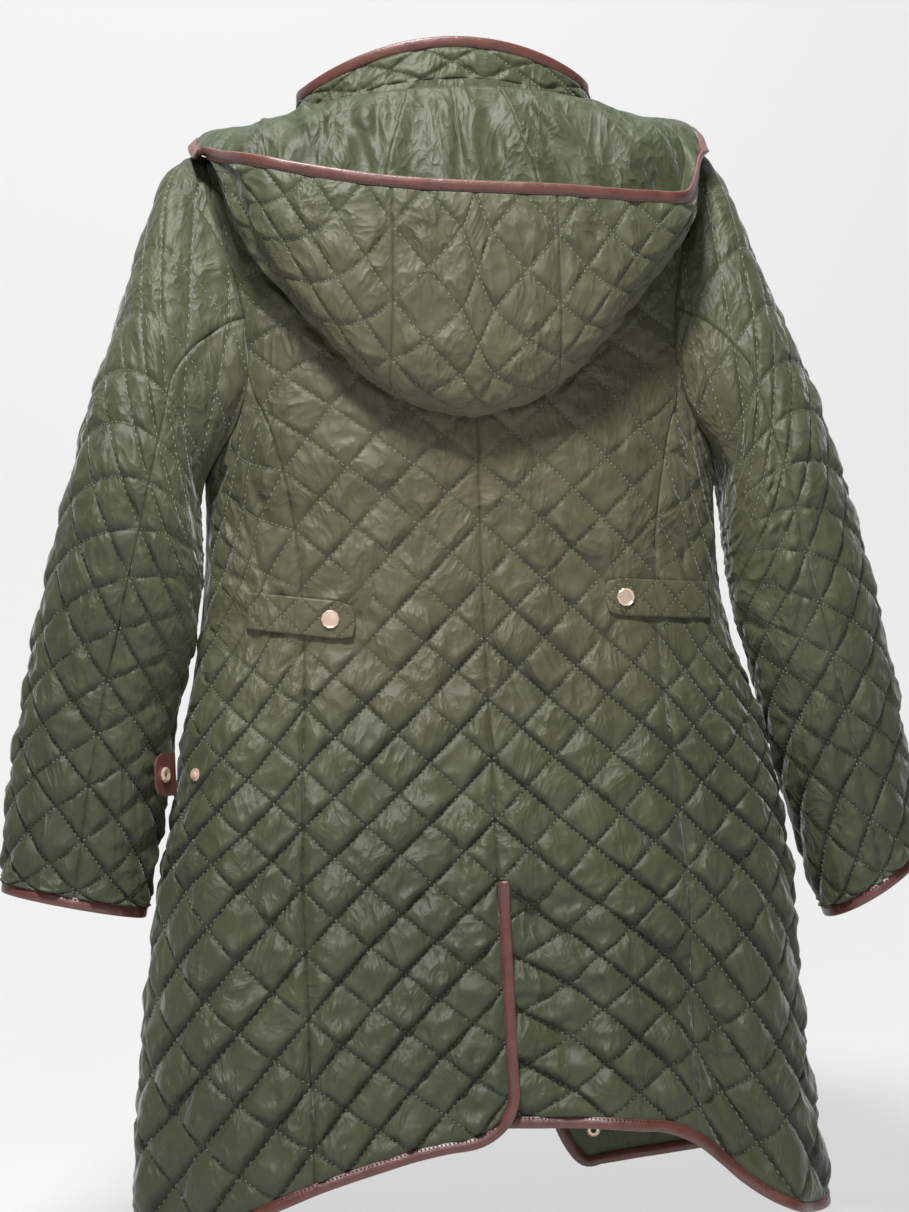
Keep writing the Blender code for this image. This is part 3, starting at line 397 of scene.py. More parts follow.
def under_tab(point):
    """True where the cloth lies flat under a waist tab."""
    for side in (-1, 1):
        tab = TABS[side]
        middle = (tab["inner_x"] + tab["outer_x"]) / 2
        if abs(point.x - middle) < 0.060 and abs(point.z - tab["middle_z"]) < 0.034 and point.y < 0:
            return True
    return False


def by_stud(point):
    """True where the cloth lies flat under a stud."""
    side_stud = body(*SIDE_STUD)
    front_stud = on_cloth(*FRONT_STUD, 0.0, "front")[0]
    return min((point - side_stud).length, (point - front_stud).length) < 0.030


def panel_sheet(side, face, part):
    """A body panel as a sheet: rows from the hem up, columns away from the centre."""
    is_side = part == "side"
    lower = HEM_ROWS + WAIST_ROWS
    arm_rows = 2 * PRINCESS_POINT
    rows = lower if is_side else lower + arm_rows + YOKE_ROWS
    columns = PANEL_COLUMNS
    turn = 1 if face == "back" else -1
    princess_point = PRINCESS_POINT if face == "back" else ARM_POINTS - PRINCESS_POINT
    to_arm = lower + arm_rows
    loop_at = {}
    if is_side:
        for c in range(columns + 1):
            loop_at[(rows, c)] = princess_point + turn * c / 2
    else:
        for r in range(lower, to_arm + 1):
            loop_at[(r, columns)] = princess_point - turn * (r - lower) / 2

    def edge_level(r):
        if r <= lower:
            top = armhole(side, princess_point)[1]
            return VENT_TOP + (top - VENT_TOP) * (r - HEM_ROWS) / WAIST_ROWS
        if r <= to_arm:
            return armhole(side, princess_point - turn * (r - lower) / 2)[1]
        return SHOULDER_LEVEL * (1 - (r - to_arm) / YOKE_ROWS)

    def level_of(r, c):
        share = c / columns
        if r < HEM_ROWS:
            level = -0.90
            for _ in range(2):
                level = hem_level(angle_of(r, c, level))
            return level + (VENT_TOP - level) * r / HEM_ROWS
        if is_side:
            top = armhole(side, princess_point + turn * c / 2)[1]
            return VENT_TOP + (top - VENT_TOP) * (r - HEM_ROWS) / WAIST_ROWS
        if r <= lower or r >= to_arm:
            return edge_level(r)
        top = edge_level(lower)
        middle = top + (SHOULDER_LEVEL - top) * (r - lower) / arm_rows
        return middle + (edge_level(r) - middle) * share ** 1.5

    def angle_of(r, c, level):
        if is_side:
            start = princess_angle(side, face, level)
            angle = arc_angles(start, 90.0 * side, level, columns)[c]
            if r > HEM_ROWS and 0 < c < columns:
                share = ((r - HEM_ROWS) / WAIST_ROWS) ** 3
                top = armhole(side, princess_point + turn * c / 2)[0]
                angle += (top - angle) * share
            return angle
        start = seam_angle(side, face, level)
        if r < lower:
            end = princess_angle(side, face, level)
        elif r < to_arm:
            end = armhole(side, princess_point - turn * (r - lower) / 2)[0]
        else:
            end = 90.0 * side
        return arc_angles(start, end, level, columns)[c]

    places = {}
    for r in range(rows + 1):
        for c in range(columns + 1):
            level = level_of(r, c)
            places[(r, c)] = (angle_of(r, c, level), level)

    def place(r, c):
        if (r, c) in loop_at:
            at = loop_at[(r, c)]
            return loop_point(side, at), arm_inward(side, at, False)
        angle, level = places[(r, c)]
        found = body(angle, level)
        normal = body_normal(angle, level)
        found += normal * front_lift(side, angle, level)
        if face == "back" and not is_side:
            inset, reach = vent_inset(side, angle, level, c)
            found -= normal * inset
            found.x -= reach
        return found, normal

    sheet = Sheet(rows, columns, place)
    for (r, c), (angle, level) in places.items():
        under_hood = abs(angle) < 118 and level > -0.112
        by_sleeve = 80 < abs(angle) < 102 and level > -0.54
        here = sheet.points[r][c]
        if under_hood or by_sleeve or under_tab(here) or by_stud(here):
            sheet.puff[r][c] = 0.0
        if face == "front" and not is_side and c == 1:
            sheet.puff[r][c] = 0.0
    if not is_side:
        round_corner(sheet, face)
    return sheet


def round_corner(sheet, face):
    """Round the free lower corner of a back or a front."""
    corner = sheet.points[0][0]
    cut = 0.30 if face == "back" else 0.38
    up, across = sheet.points[1][0], sheet.points[0][1]
    sheet.points[0][0] = corner + (up - corner) * cut + (across - corner) * cut


def sleeve_point(side, along, point):
    """A point of a sleeve: along 0 to 1 from the armhole to the cuff, round it by armhole points."""
    ring = read(SLEEVE_LEFT if side < 0 else SLEEVE_RIGHT, along)
    outer = Vector((side * ring["outer_x"], ring["forward"], ring["outer_z"]))
    inner = Vector((side * ring["inner_x"], ring["forward"], ring["inner_z"]))
    turn = 2 * math.pi * point / ARM_POINTS
    across, behind = math.cos(turn), math.sin(turn)
    middle, half = (outer + inner) / 2, (outer - inner) / 2
    found = middle + half * across + Vector((0.0, -ring["depth"] * behind, 0.0))
    fade = 1 - ramp(along, 0.0, 0.17)
    if fade > 0:
        first = read(SLEEVE_LEFT if side < 0 else SLEEVE_RIGHT, 0.0)
        top = Vector((side * first["outer_x"], 0.0, first["outer_z"]))
        low = Vector((side * first["inner_x"], 0.0, first["inner_z"]))
        plain = (top + low) / 2 + (top - low) / 2 * across + Vector((0.0, -first["depth"] * behind, 0.0))
        found += (body(*armhole(side, point)) - plain) * fade
    return found


def sleeve_normal(side, along, point):
    """The direction out of a sleeve."""
    step = 0.12
    rise = 0.010
    low = max(along - rise, 0.0)
    high = min(along + rise, 1.0)
    around = sleeve_point(side, along, point + step) - sleeve_point(side, along, point - step)
    down = sleeve_point(side, high, point) - sleeve_point(side, low, point)
    return around.cross(down).normalized() * side


def sleeve_sheet(side, first, last):
    """The part of a sleeve between two armhole points."""
    def place(r, c):
        at = first + c
        if r == 0:
            sewn = loop_point(side, at) + Vector((side * 2 * SEAM, 0.0, 0.0))
            return sewn, arm_inward(side, at, True)
        along = r / SLEEVE_ROWS
        return sleeve_point(side, along, at), sleeve_normal(side, along, at)

    sheet = Sheet(SLEEVE_ROWS, last - first, place)
    for r in range(SLEEVE_ROWS + 1):
        for c in range(last - first + 1):
            from_body = abs((first + c) % ARM_POINTS - ARM_POINTS / 2)
            if from_body < 2.5 and r < 0.72 * SLEEVE_ROWS:
                sheet.puff[r][c] = 0.0 if r < 0.5 * SLEEVE_ROWS else 0.4
    return sheet


def hood_point(across, down):
    """A point of the hood: across -1 to 1, down 0 at the neck, 1 at the fold, 2 at the face edge."""
    side = 1 if across > 0 else -1
    share = min(abs(across), 1.0)
    row = read(HOOD, share)
    if down <= 1.0:
        angle = row["neck_angle"] + (row["fold_angle"] - row["neck_angle"]) * down
        level = HOOD_ROOT + (row["fold_level"] - HOOD_ROOT) * down
        reach = 0.15 + 0.55 * ramp(share, 0.45, 0.75)
        clear = HOOD_SEAT + (HOOD_CLEARANCE - HOOD_SEAT) * ramp(down, 0.0, reach)
        return body(side * angle, level) + body_normal(side * angle, level) * clear
    part = down - 1.0
    fold = hood_point(across, 1.0)
    out = body_normal(side * row["fold_angle"], row["fold_level"])
    rim_z = row["rim_right"] if side > 0 else row["rim_left"]
    rim = Vector((side * row["rim_x"] + CENTRE, row["rim_y"], rim_z))
    size = 1 - 0.80 * ramp(share, 0.25, 0.76)
    first = fold + out * HOOD_BAG * size + Vector((0.0, 0.0, -0.014 * size))
    second = rim + Vector((0.0, -0.004, -0.085 * size))
    rest = 1 - part
    hung = fold * rest ** 3 + first * 3 * rest ** 2 * part + second * 3 * rest * part ** 2 + rim * part ** 3
    flat = ramp(share, 0.54, 0.80)
    if flat == 0.0:
        return hung
    angle = row["fold_angle"] + (row["flat_angle"] - row["fold_angle"]) * part
    level = row["fold_level"] + (row["flat_level"] - row["fold_level"]) * part
    clear = HOOD_CLEARANCE + 0.005 * part
    laid = body(side * angle, level) + body_normal(side * angle, level) * clear
    return hung.lerp(laid, flat)


def hood_normal(across, down):
    """The direction out of the hood's quilted side."""
    step = 0.02
    over = hood_point(across + step, down) - hood_point(across - step, down)
    low, high = max(down - 0.06, 0.0), min(down + 0.06, 2.0)
    along = hood_point(across, high) - hood_point(across, low)
    return over.cross(along).normalized()


def hood_sheet(start, end, columns):
    """The part of the hood between two places across."""
    def at(r, c):
        across = start + (end - start) * c / columns
        across = min(max(across, -HOOD_REACH), HOOD_REACH)
        if r <= HOOD_UNDER_ROWS:
            return across, r / HOOD_UNDER_ROWS
        return across, 1 + (r - HOOD_UNDER_ROWS) / HOOD_OVER_ROWS

    def place(r, c):
        return hood_point(*at(r, c)), hood_normal(*at(r, c))

    sheet = Sheet(HOOD_UNDER_ROWS + HOOD_OVER_ROWS, columns, place)
    for r in range(sheet.rows + 1):
        for c in range(columns + 1):
            across, down = at(r, c)
            sheet.puff[r][c] = ramp(down, 1.0, 1.15) * (1 - ramp(abs(across), 0.55, 0.7))
            if r == sheet.rows:
                sheet.lining[r][c] = -0.4 * CLOTH
            if 0 < r < HOOD_UNDER_ROWS and c % 2 == 0:
                gather = 0.0045 * (1 - ramp(down, 0.45, 0.9)) * (1 - ramp(abs(across), 0.6, 0.75))
                sheet.lining[r][c] = gather
    return sheet


def collar_sheet():
    """The standing collar, from the left front end round the back to the right one."""
    angles = arc_angles(-COLLAR_END, COLLAR_END, 0.0, COLLAR_COLUMNS)

    def place(r, c):
        angle = angles[c]
        side = 1 if angle > 0 else -1
        base = body(angle, 0.0) + body_normal(angle, 0.0) * front_lift(side, angle, 0.0)
        along = body(angle + 1.0, 0.0) - body(angle - 1.0, 0.0)
        along.z = 0.0
        out = along.cross(Vector((0.0, 0.0, 1.0))).normalized()
        facing = math.cos(math.radians(angle))
        end = COLLAR_BACK if facing > 0 else COLLAR_FRONT
        rise = COLLAR_SIDE + (end - COLLAR_SIDE) * facing * facing - BINDING_WIDTH
        lean = -COLLAR_LEAN * abs(facing)
        share = r / 2
        start = Vector((0.0, 0.0, -COLLAR_SUNK)) + out * COLLAR_SEAT
        return base + start + Vector((0.0, 0.0, rise)) * share + out * lean * share, out

    sheet = Sheet(2, COLLAR_COLUMNS, place)
    for c in range(COLLAR_COLUMNS + 1):
        sheet.puff[1][c] = 0.55
    return sheet


def on_cloth(x, level, lift, face="back"):
    """A point at x, lifted off the back or the front, and the direction out of the cloth."""
    angle = angle_at(x, level, face)
    normal = body_normal(angle, level)
    return body(angle, level) + normal * lift, normal


def tab_place(side, x, share, lift):
    """A point of a waist tab: share runs from its lower edge to its upper one."""
    tab = TABS[side]
    along = (x - tab["inner_x"]) / (tab["outer_x"] - tab["inner_x"])
    fall = tab["fall"] * (0.5 - along) if side < 0 else tab["fall"] * (along - 0.5)
    level = tab["middle_z"] - fall + TAB_HEIGHT * (share - 0.5)
    return on_cloth(x, level, lift)


# Fine drawing
FINE = 10      # fine points across half a diamond
PLAIN = 2                      # points across half a diamond on a plain inside
LINING_STEPS = 7    # the same on the hood's lining
CRUMPLE = 0.0026               # height of the angular wrinkles
PUCKER = 0.0009                # height of the wrinkles that run off the stitching
STITCH_DEPTH = 0.0008          # how far the stitching sinks
STITCH_TROUGH = 0.07           # and how wide, in half diamonds
DEEPEST = -0.0017              # troughs stay clear of the lining
CROSS_BODY = 0.62              # on the body the falling lines are sewn deeper than the crossing ones
CROSS_OTHER = 0.85
MAIN_SWELL = (0.26, 0.50)      # shares of a diamond over which it rises from its stitching
CROSS_SWELL = (0.22, 0.42)
UNEVEN = 0.22                  # how much the diamonds' heights differ
RIM = 0.55                     # the quilting fades out toward a seam, in half diamonds
LINING_RIM = 0.6
LINING_UVS = 200.0             # the lining's coordinates lie clear of the outer side's

STITCH_PITCH = 0.0046
STITCH_LENGTH = 0.0032
STITCH_WIDE = 0.0010
STITCH_HIGH = 0.0006
STITCH_SUNK = 0.0002
BINDING_PITCH = 0.0034
BINDING_STITCH = 0.0022
BINDING_STEPS = 6              # points between two of a binding's own
BINDING_WRAP = 0.0012          # how far the leather reaches over the cloth's edge
TAB_COLUMNS = 6
TAB_CORNER = (0.03, 0.09)      # how much a tab's free corners are cut, along and across

SLEEVE_SEED = 20
HOOD_SEED = 40
COLLAR_SEED = 50
TAB_SEED = 60

# Cloth, leather, metal and thread
# Painted light: a pool of light and sheen, warmer in tone, painted into the cloth's colour over the middle
# of the back; its tint, middle and radius
PAINTED_LIGHT_TINT = (0.195, 0.160, 0.094)
PAINTED_LIGHT_MIDDLE = (0.0, -0.10, -0.33)
PAINTED_LIGHT_RADIUS = 0.34
# Painted shade: the cloth's colour is darkened along the stitching, most along the lower edges of the
# diamonds and most low on the coat
LINE_SOFT = 0.02               # the upper side of a painted shade line, as a share of a diamond
PAINTED_SHADE_TONE = 0.10
SHADE_LEVEL = -0.28            # the painted shade along the stitching grows stronger below this level
SHADE_SPAN = 0.30
LEATHER_LOW = (0.060, 0.020, 0.016)
LEATHER_HIGH = (0.175, 0.058, 0.046)

# Camera, ground and light
CAMERA_AIM = (-0.0097, 0.0, -0.439)
CAMERA_DISTANCE = 2.4
CAMERA_AZIMUTH = -7.0
CAMERA_HEIGHT = 0.0
CAMERA_ROLL = -2.5
CAMERA_LENS = 83.9
GROUND_DROP = 0.06
GROUND_TONE = (0.42, 0.42, 0.42)
GROUND_GLOW = 0.42
GROUND_NEAR = -4.0
GROUND_FAR = 1.6
GROUND_BEND = 0.8
GROUND_HALF = 5.0
GROUND_TOP = 4.5
WHITE = (1.0, 1.0, 1.0, 1.0)
WORLD_STRENGTH = 0.035
LIGHTS = (
    # name, place, size, watts, the point that it is turned to
    ("key", (-0.30, -1.05, 1.20), (0.40, 0.22), 60.0, (0.0, 0.0, -0.20)),
    ("front", (-0.2, -2.6, 0.5), (0.4, 0.4), 9.0, (0.0, 0.0, -0.20)),
    ("ground_wash", (0.0, 0.6, 2.4), (3.0, 0.8), 34.0, (0.0, 2.2, -0.3)),
)


def lead(line):
    """A line with one more straight step at each end."""
    return np.concatenate(([2 * line[0] - line[1]], line, [2 * line[-1] - line[-2]]))


def fill_in(line, steps):
    """Smooth points in between those of a line; its first and its last one only lead it."""
    a, b, c, d = (line[i:len(line) - 3 + i][:, None] for i in range(4))
    t = (np.arange(steps) / steps).reshape((1, steps) + (1,) * (line.ndim - 1))
    fine = 0.5 * (2 * b + (c - a) * t + (2 * a - 5 * b + 4 * c - d) * t ** 2
                  + (3 * b - a - 3 * c + d) * t ** 3)
    return np.concatenate((fine.reshape((-1,) + line.shape[1:]), line[-2:-1]))


def spread(grid, steps):
    """Fill a grid in with smooth points, along its rows and its columns."""
    for axis in (0, 1):
        line = fill_in(lead(np.moveaxis(grid, axis, 0)), steps)
        grid = np.moveaxis(line, 0, axis)
    return grid


def directions(points, toward):
    """The direction out of a grid of points, on the side of the coarse one given."""
    around = np.gradient(points, axis=1)
    up = np.gradient(points, axis=0)
    out = np.cross(around, up)
    out /= np.maximum(np.linalg.norm(out, axis=2, keepdims=True), 1e-12)
    rows, columns = points.shape[0] // 2, points.shape[1] // 2
    return out * (1.0 if out[rows, columns] @ np.array(toward) > 0 else -1.0)


def ripple(random, rows, columns):
    """Smooth unevenness between about -1 and 1, one knot at each half diamond."""
    return spread(random.uniform(-1, 1, (rows + 1, columns + 1)), FINE)


def crumple(random, rows, columns):
    """Angular wrinkles of stiff nylon: folded noise, sharp along its ridges."""
    height = 0.0
    for size, lift in ((1, 0.9), (2, 0.55)):
        knots = random.uniform(-1, 1, (rows * size + 1, columns * size + 1))
        height = height + lift * (0.5 - np.abs(spread(knots, FINE // size)))
    return height


def crease(u, v, marks):
    """Sum of the listed creases, each a bent line that fades at the ends of its stretches."""
    height = np.zeros(u.shape)
    for width, lift, *places in marks:
        for (u1, v1), (u2, v2) in zip(places, places[1:]):
            along = np.array((u2 - u1, v2 - v1))
            share = ((u - u1) * along[0] + (v - v1) * along[1]) / (along @ along)
            share = np.clip(share, 0.0, 1.0)
            away = np.hypot(u - u1 - share * along[0], v - v1 - share * along[1])
            fade = np.sin(np.pi * (0.08 + 0.84 * share))
            height += lift * fade * np.exp(-(away / width) ** 2)
    return height


def pucker(u, v, drift):
    """Short sharp wrinkles that run off the stitching."""
    found = np.zeros(u.shape)
    for over, along in ((u + v, u - v), (u - v, u + v)):
        away = np.abs((over % 2) - 1)
        wave = np.abs(np.sin(np.pi * 1.6 * along + 4 * drift)) - 0.6
        found += wave * np.exp(-(away / 0.38) ** 2)
    return found


def swell(share, low, high):
    """Rise across a diamond: up over `low` of its width, down again over `high` of it."""
    edge = np.clip(np.minimum(share / low, (1 - share) / high), 0.0, 1.0)
    return 1 - (1 - edge) ** 2


def lattice(rows, columns, steps):
    """Column and row coordinates of the fine points, in half diamonds."""
    v, u = np.meshgrid(np.arange(rows * steps + 1) / steps, np.arange(columns * steps + 1) / steps,
                       indexing="ij")
    return u, v


def to_rim(sheet, u, v):
    """How far a place is from the nearest edge of its sheet, in half diamonds."""
    return np.minimum(np.minimum(u, sheet.columns - u), np.minimum(v, sheet.rows - v))


def quilt_height(sheet, u, v, up, cross_share, random):
    """How far the quilted cloth stands off its stitching; each diamond sags toward its lower edges."""
    rows, columns = sheet.rows, sheet.columns
    main = swell(((u + up + 1) % 2) / 2, *MAIN_SWELL)
    cross = swell(((up - u + 1) % 2) / 2, *CROSS_SWELL)
    pillow = main * (1 - cross_share + cross_share * cross)
    mask = np.clip(spread(np.array(sheet.puff), FINE), 0.0, 1.0)
    rim = 1 - (1 - np.clip(to_rim(sheet, u, v) / RIM, 0.0, 1.0)) ** 2
    uneven = 1 + UNEVEN * ripple(random, rows, columns)
    height = PUFF * pillow * uneven * mask * rim
    height += PUCKER * pucker(u, v, ripple(random, rows, columns)) * rim * mask
    height += CRUMPLE * crumple(random, rows, columns) * rim * (0.25 + pillow)
    away = np.minimum(np.abs((u + v) % 2 - 1), np.abs((u - v) % 2 - 1))
    return height - STITCH_DEPTH * np.exp(-(away / STITCH_TROUGH) ** 2) * mask


def relief(kind, v):
    """How strongly a piece is quilted: the tabs hardly, the hood softly, the skirt most."""
    if kind == "waist_tab":
        return 0.12
    if kind.startswith("hood"):
        return 0.55
    if kind.startswith("sleeve"):
        return np.interp(v, (4, 12), (0.6, 0.95))
    if kind == "collar":
        return 0.7
    return np.interp(v, (6, 14, 24), (1.35, 1.0, 0.55))


def mesh_object(name, points, faces, finish, uvs=None, lined=None):
    """An object of points and faces, turned outward and smooth; lined: its first and last inner face."""
    data = bpy.data.meshes.new(name)
    data.from_pydata(points, [], faces)
    if uvs is not None:
        layer = data.uv_layers.new(name="lattice")
        at = np.empty(len(data.loops), dtype=np.int32)
        data.loops.foreach_get("vertex_index", at)
        layer.data.foreach_set("uv", np.asarray(uvs)[at].ravel())
    work = bmesh.new()
    work.from_mesh(data)
    bmesh.ops.recalc_face_normals(work, faces=work.faces)
    work.to_mesh(data)
    work.free()
    data.polygons.foreach_set("use_smooth", [True] * len(data.polygons))
    data.materials.append(finish)
    if lined:
        data.materials.append(LINING)
        which = np.zeros(len(data.polygons), dtype=np.int32)
        which[lined[0]:lined[1]] = 1
        data.polygons.foreach_set("material_index", which)
    obj = bpy.data.objects.new(name, data)
    bpy.context.collection.objects.link(obj)
    return obj


def cell_faces(rows, columns):
    """Triangles of a quilted grid, split along the stitching."""
    i, j = np.meshgrid(np.arange(rows * FINE), np.arange(columns * FINE), indexing="ij")
    width = columns * FINE + 1
    a = i * width + j
    b, d, e = a + 1, a + width, a + width + 1
    even = ((i // FINE + j // FINE) % 2 == 0)
    first = np.where(even[..., None], np.stack((a, b, d), -1), np.stack((a, b, e), -1))
    second = np.where(even[..., None], np.stack((b, e, d), -1), np.stack((a, e, d), -1))
    return np.concatenate((first.reshape(-1, 3), second.reshape(-1, 3))).tolist()


def rim_path(rows, columns, steps):
    """The rim of a grid, as a list of places for each half diamond along it."""
    width = columns * steps + 1
    last_row = rows * steps * width
    stretches = []
    for c in range(columns):
        across = range(c * steps, (c + 1) * steps + 1)
        stretches.append(list(across))
        stretches.append([last_row + j for j in across])
    for r in range(rows):
        upward = range(r * steps, (r + 1) * steps + 1)
        stretches.append([i * width for i in upward])
        stretches.append([i * width + columns * steps for i in upward])
    return stretches


def cloth_wall(name, sheet, outer, inner, inner_steps, outer_uvs):
    """A wall of cloth from its fine outer side and its inner side."""
    rows, columns = sheet.rows, sheet.columns
    narrow = columns * inner_steps + 1
    start = outer.shape[0] * outer.shape[1]
    faces = cell_faces(rows, columns)
    first = len(faces)
    for i in range(rows * inner_steps):
        for j in range(columns * inner_steps):
            a = start + i * narrow + j
            faces.append((a, a + narrow, a + narrow + 1, a + 1))
    last = len(faces)
    inside = rim_path(rows, columns, inner_steps)
    for out_line, in_line in zip(rim_path(rows, columns, FINE), inside):
        faces.append(tuple(out_line) + tuple(start + at for at in reversed(in_line)))
    inner_uvs = np.stack(lattice(rows, columns, inner_steps), -1) + LINING_UVS
    uvs = np.concatenate((outer_uvs.reshape(-1, 2), inner_uvs.reshape(-1, 2)))
    points = np.concatenate((outer.reshape(-1, 3), inner.reshape(-1, 3)))
    return mesh_object(name, points.tolist(), faces, NYLON, uvs, (first, last))


def sample(grid, places):
    """Points of a fine grid at lattice places."""
    x = np.clip(places[:, 0] * FINE, 0, grid.shape[1] - 1.001)
    y = np.clip(places[:, 1] * FINE, 0, grid.shape[0] - 1.001)
    j, i = x.astype(int), y.astype(int)
    fx, fy = (x - j)[:, None], (y - i)[:, None]
    low = grid[i, j] * (1 - fx) + grid[i, j + 1] * fx
    high = grid[i + 1, j] * (1 - fx) + grid[i + 1, j + 1] * fx
    return low * (1 - fy) + high * fy


def stitch_mesh(name, starts, ends, outs, finish):
    """Stitches as small grains of thread between their starts and ends."""
    side = np.cross(ends - starts, outs)
    side *= STITCH_WIDE / 2 / np.maximum(np.linalg.norm(side, axis=1, keepdims=True), 1e-9)
    middle = (starts + ends) / 2
    under = -STITCH_SUNK * outs
    corners = np.stack((starts + under, middle + side + under, ends + under, middle - side + under,
                        middle + outs * STITCH_HIGH), 1)
    base = np.arange(len(starts))[:, None] * 5
    shape = np.array(((0, 1, 4), (1, 2, 4), (2, 3, 4), (3, 0, 4)))
    roof = (base[:, :, None] + shape[None]).reshape(-1, 3)
    floor = base + np.array(((3, 2, 1, 0),))
    obj = mesh_object(name, corners.reshape(-1, 3).tolist(), roof.tolist() + floor.tolist(), finish)
    follow(obj)
    return obj


def quilt_stitches(sheet, outer, outs):
    """Starts, ends and directions of the stitches along a sheet's diagonals."""
    rows, columns = sheet.rows, sheet.columns
    middle = outer[rows * FINE // 2, :, :]
    cell = np.linalg.norm(np.diff(middle, axis=0), axis=1).sum() / columns
    pitch = STITCH_PITCH / (cell * math.sqrt(2))
    length = STITCH_LENGTH / (cell * math.sqrt(2))
    starts, ends = [], []
    for lean in (1, -1):
        for k in range(-2 * rows - 1, 2 * (rows + columns) + 2, 2):
            at = np.arange(0.04, columns - length - 0.04, pitch)
            v0 = k + lean * at
            v1 = k + lean * (at + length)
            keep = (np.minimum(v0, v1) > 0.05) & (np.maximum(v0, v1) < rows - 0.05)
            starts.append(np.stack((at[keep], v0[keep]), 1))
            ends.append(np.stack((at[keep] + length, v1[keep]), 1))
    starts, ends = np.concatenate(starts), np.concatenate(ends)
    mask = spread(np.array(sheet.puff)[..., None], FINE)
    shown = sample(mask, starts)[:, 0] > 0.1
    starts, ends = starts[shown], ends[shown]
    return sample(outer, starts), sample(outer, ends), sample(outs, starts)


def paint(name, colour, roughness, metallic=0.0):
    """A material with its shader and its nodes' links at hand."""
    made = bpy.data.materials.new(name)
    made.use_nodes = True
    shader = made.node_tree.nodes["Principled BSDF"]
    shader.inputs["Base Color"].default_value = (*colour, 1.0)
    shader.inputs["Roughness"].default_value = roughness
    shader.inputs["Metallic"].default_value = metallic
    return made, shader


def node(made, kind, settings=(), **values):
    """A node with its properties and the values of its sockets."""
    new = made.node_tree.nodes.new(kind)
    for key, value in dict(settings).items():
        setattr(new, key, value)
    for key, value in values.items():
        new.inputs[key.replace("_", " ")].default_value = value
    return new


def join(made, source, target):
    """Link one socket to another."""
    made.node_tree.links.new(source, target)


def maths(made, operation, first, second=None):
    """A sum on sockets or numbers."""
    new = made.node_tree.nodes.new("ShaderNodeMath")
    new.operation = operation
    for at, value in enumerate((first, second)):
        if value is None:
            continue
        if isinstance(value, (int, float)):
            new.inputs[at].default_value = value
        else:
            join(made, value, new.inputs[at])
    return new.outputs[0]


def blend_colour(made, share, first, second):
    """A mix of two colours, by a socket."""
    new = made.node_tree.nodes.new("ShaderNodeMix")
    new.data_type = "RGBA"
    join(made, share, new.inputs["Factor"])
    for at, value in (("A", first), ("B", second)):
        socket = [s for s in new.inputs if s.name == at and s.type == "RGBA"][0]
        if isinstance(value, tuple):
            socket.default_value = (*value, 1.0)
        else:
            join(made, value, socket)
    return [s for s in new.outputs if s.type == "RGBA"][0]


def noise(made, place, scale, detail=3.0, rough=0.5):
    """Noise in the object's own metres."""
    new = node(made, "ShaderNodeTexNoise", Scale=scale, Detail=detail, Roughness=rough)
    join(made, place, new.inputs["Vector"])
    return new.outputs["Fac"]


def bumped(made, shader, heights):
    """Bump from several heights, each with its distance in metres."""
    last = None
    for height, distance in heights:
        new = node(made, "ShaderNodeBump", Strength=1.0, Distance=distance)
        join(made, height, new.inputs["Height"])
        if last:
            join(made, last, new.inputs["Normal"])
        last = new.outputs["Normal"]
    join(made, last, shader.inputs["Normal"])


def line_shade(made, over, low):
    """Painted shade by the lines where `over` is odd: 0 on a line, 1 off it, softer on its upper side."""
    share = maths(made, "FRACT", maths(made, "MULTIPLY", maths(made, "ADD", over, 1.0), 0.5))
    rising = maths(made, "DIVIDE", share, low)
    falling = maths(made, "DIVIDE", maths(made, "SUBTRACT", 1.0, share), LINE_SOFT)
    return maths(made, "MINIMUM", maths(made, "MINIMUM", rising, falling), 1.0)


def place_maths(made, operation, place, value):
    """A sum on a place: the node's outputs."""
    new = node(made, "ShaderNodeVectorMath", {"operation": operation})
    join(made, place, new.inputs[0])
    new.inputs[1].default_value = value
    return new.outputs


def parts_of(made, place):
    """The three numbers of a place."""
    new = node(made, "ShaderNodeSeparateXYZ")
    join(made, place, new.inputs[0])
    return new.outputs


def painted_light_share(made, place):
    """How much painted light, warmer in tone, lies on the cloth: most in the middle of the back."""
    away = place_maths(made, "DISTANCE", place, PAINTED_LIGHT_MIDDLE)["Value"]
    share = maths(made, "SUBTRACT", 1.0, maths(made, "DIVIDE", away, PAINTED_LIGHT_RADIUS))
    return maths(made, "MAXIMUM", share, 0.0)


def painted_stitch_shade(made, place):
    """0 on the painted shade lines along the stitching, 1 off them; the painted shade is fainter high up.
    """
    at = parts_of(made, node(made, "ShaderNodeUVMap", {"uv_map": "lattice"}).outputs["UV"])
    uneven = maths(made, "POWER", noise(made, place, 18.0, 2.0), 3.0)
    main_width = maths(made, "ADD", uneven, 0.05)
    cross_width = maths(made, "ADD", maths(made, "MULTIPLY", uneven, 0.8), 0.02)
    main = line_shade(made, maths(made, "ADD", at["X"], at["Y"]), main_width)
    cross = line_shade(made, maths(made, "SUBTRACT", at["Y"], at["X"]), cross_width)
    cross = maths(made, "ADD", maths(made, "MULTIPLY", cross, 0.55), 0.45)
    pillow = maths(made, "POWER", maths(made, "MULTIPLY", main, cross), 0.8)
    # the painted shade grows stronger lower down the coat, where less light falls
    drop = maths(made, "SUBTRACT", SHADE_LEVEL, parts_of(made, place)["Z"])
    strength = maths(made, "MAXIMUM", maths(made, "DIVIDE", drop, SHADE_SPAN), 0.25)
    strength = maths(made, "MINIMUM", strength, 1.0)
    shade = maths(made, "MULTIPLY", maths(made, "SUBTRACT", 1.0, pillow), strength)
    return maths(made, "SUBTRACT", 1.0, shade)


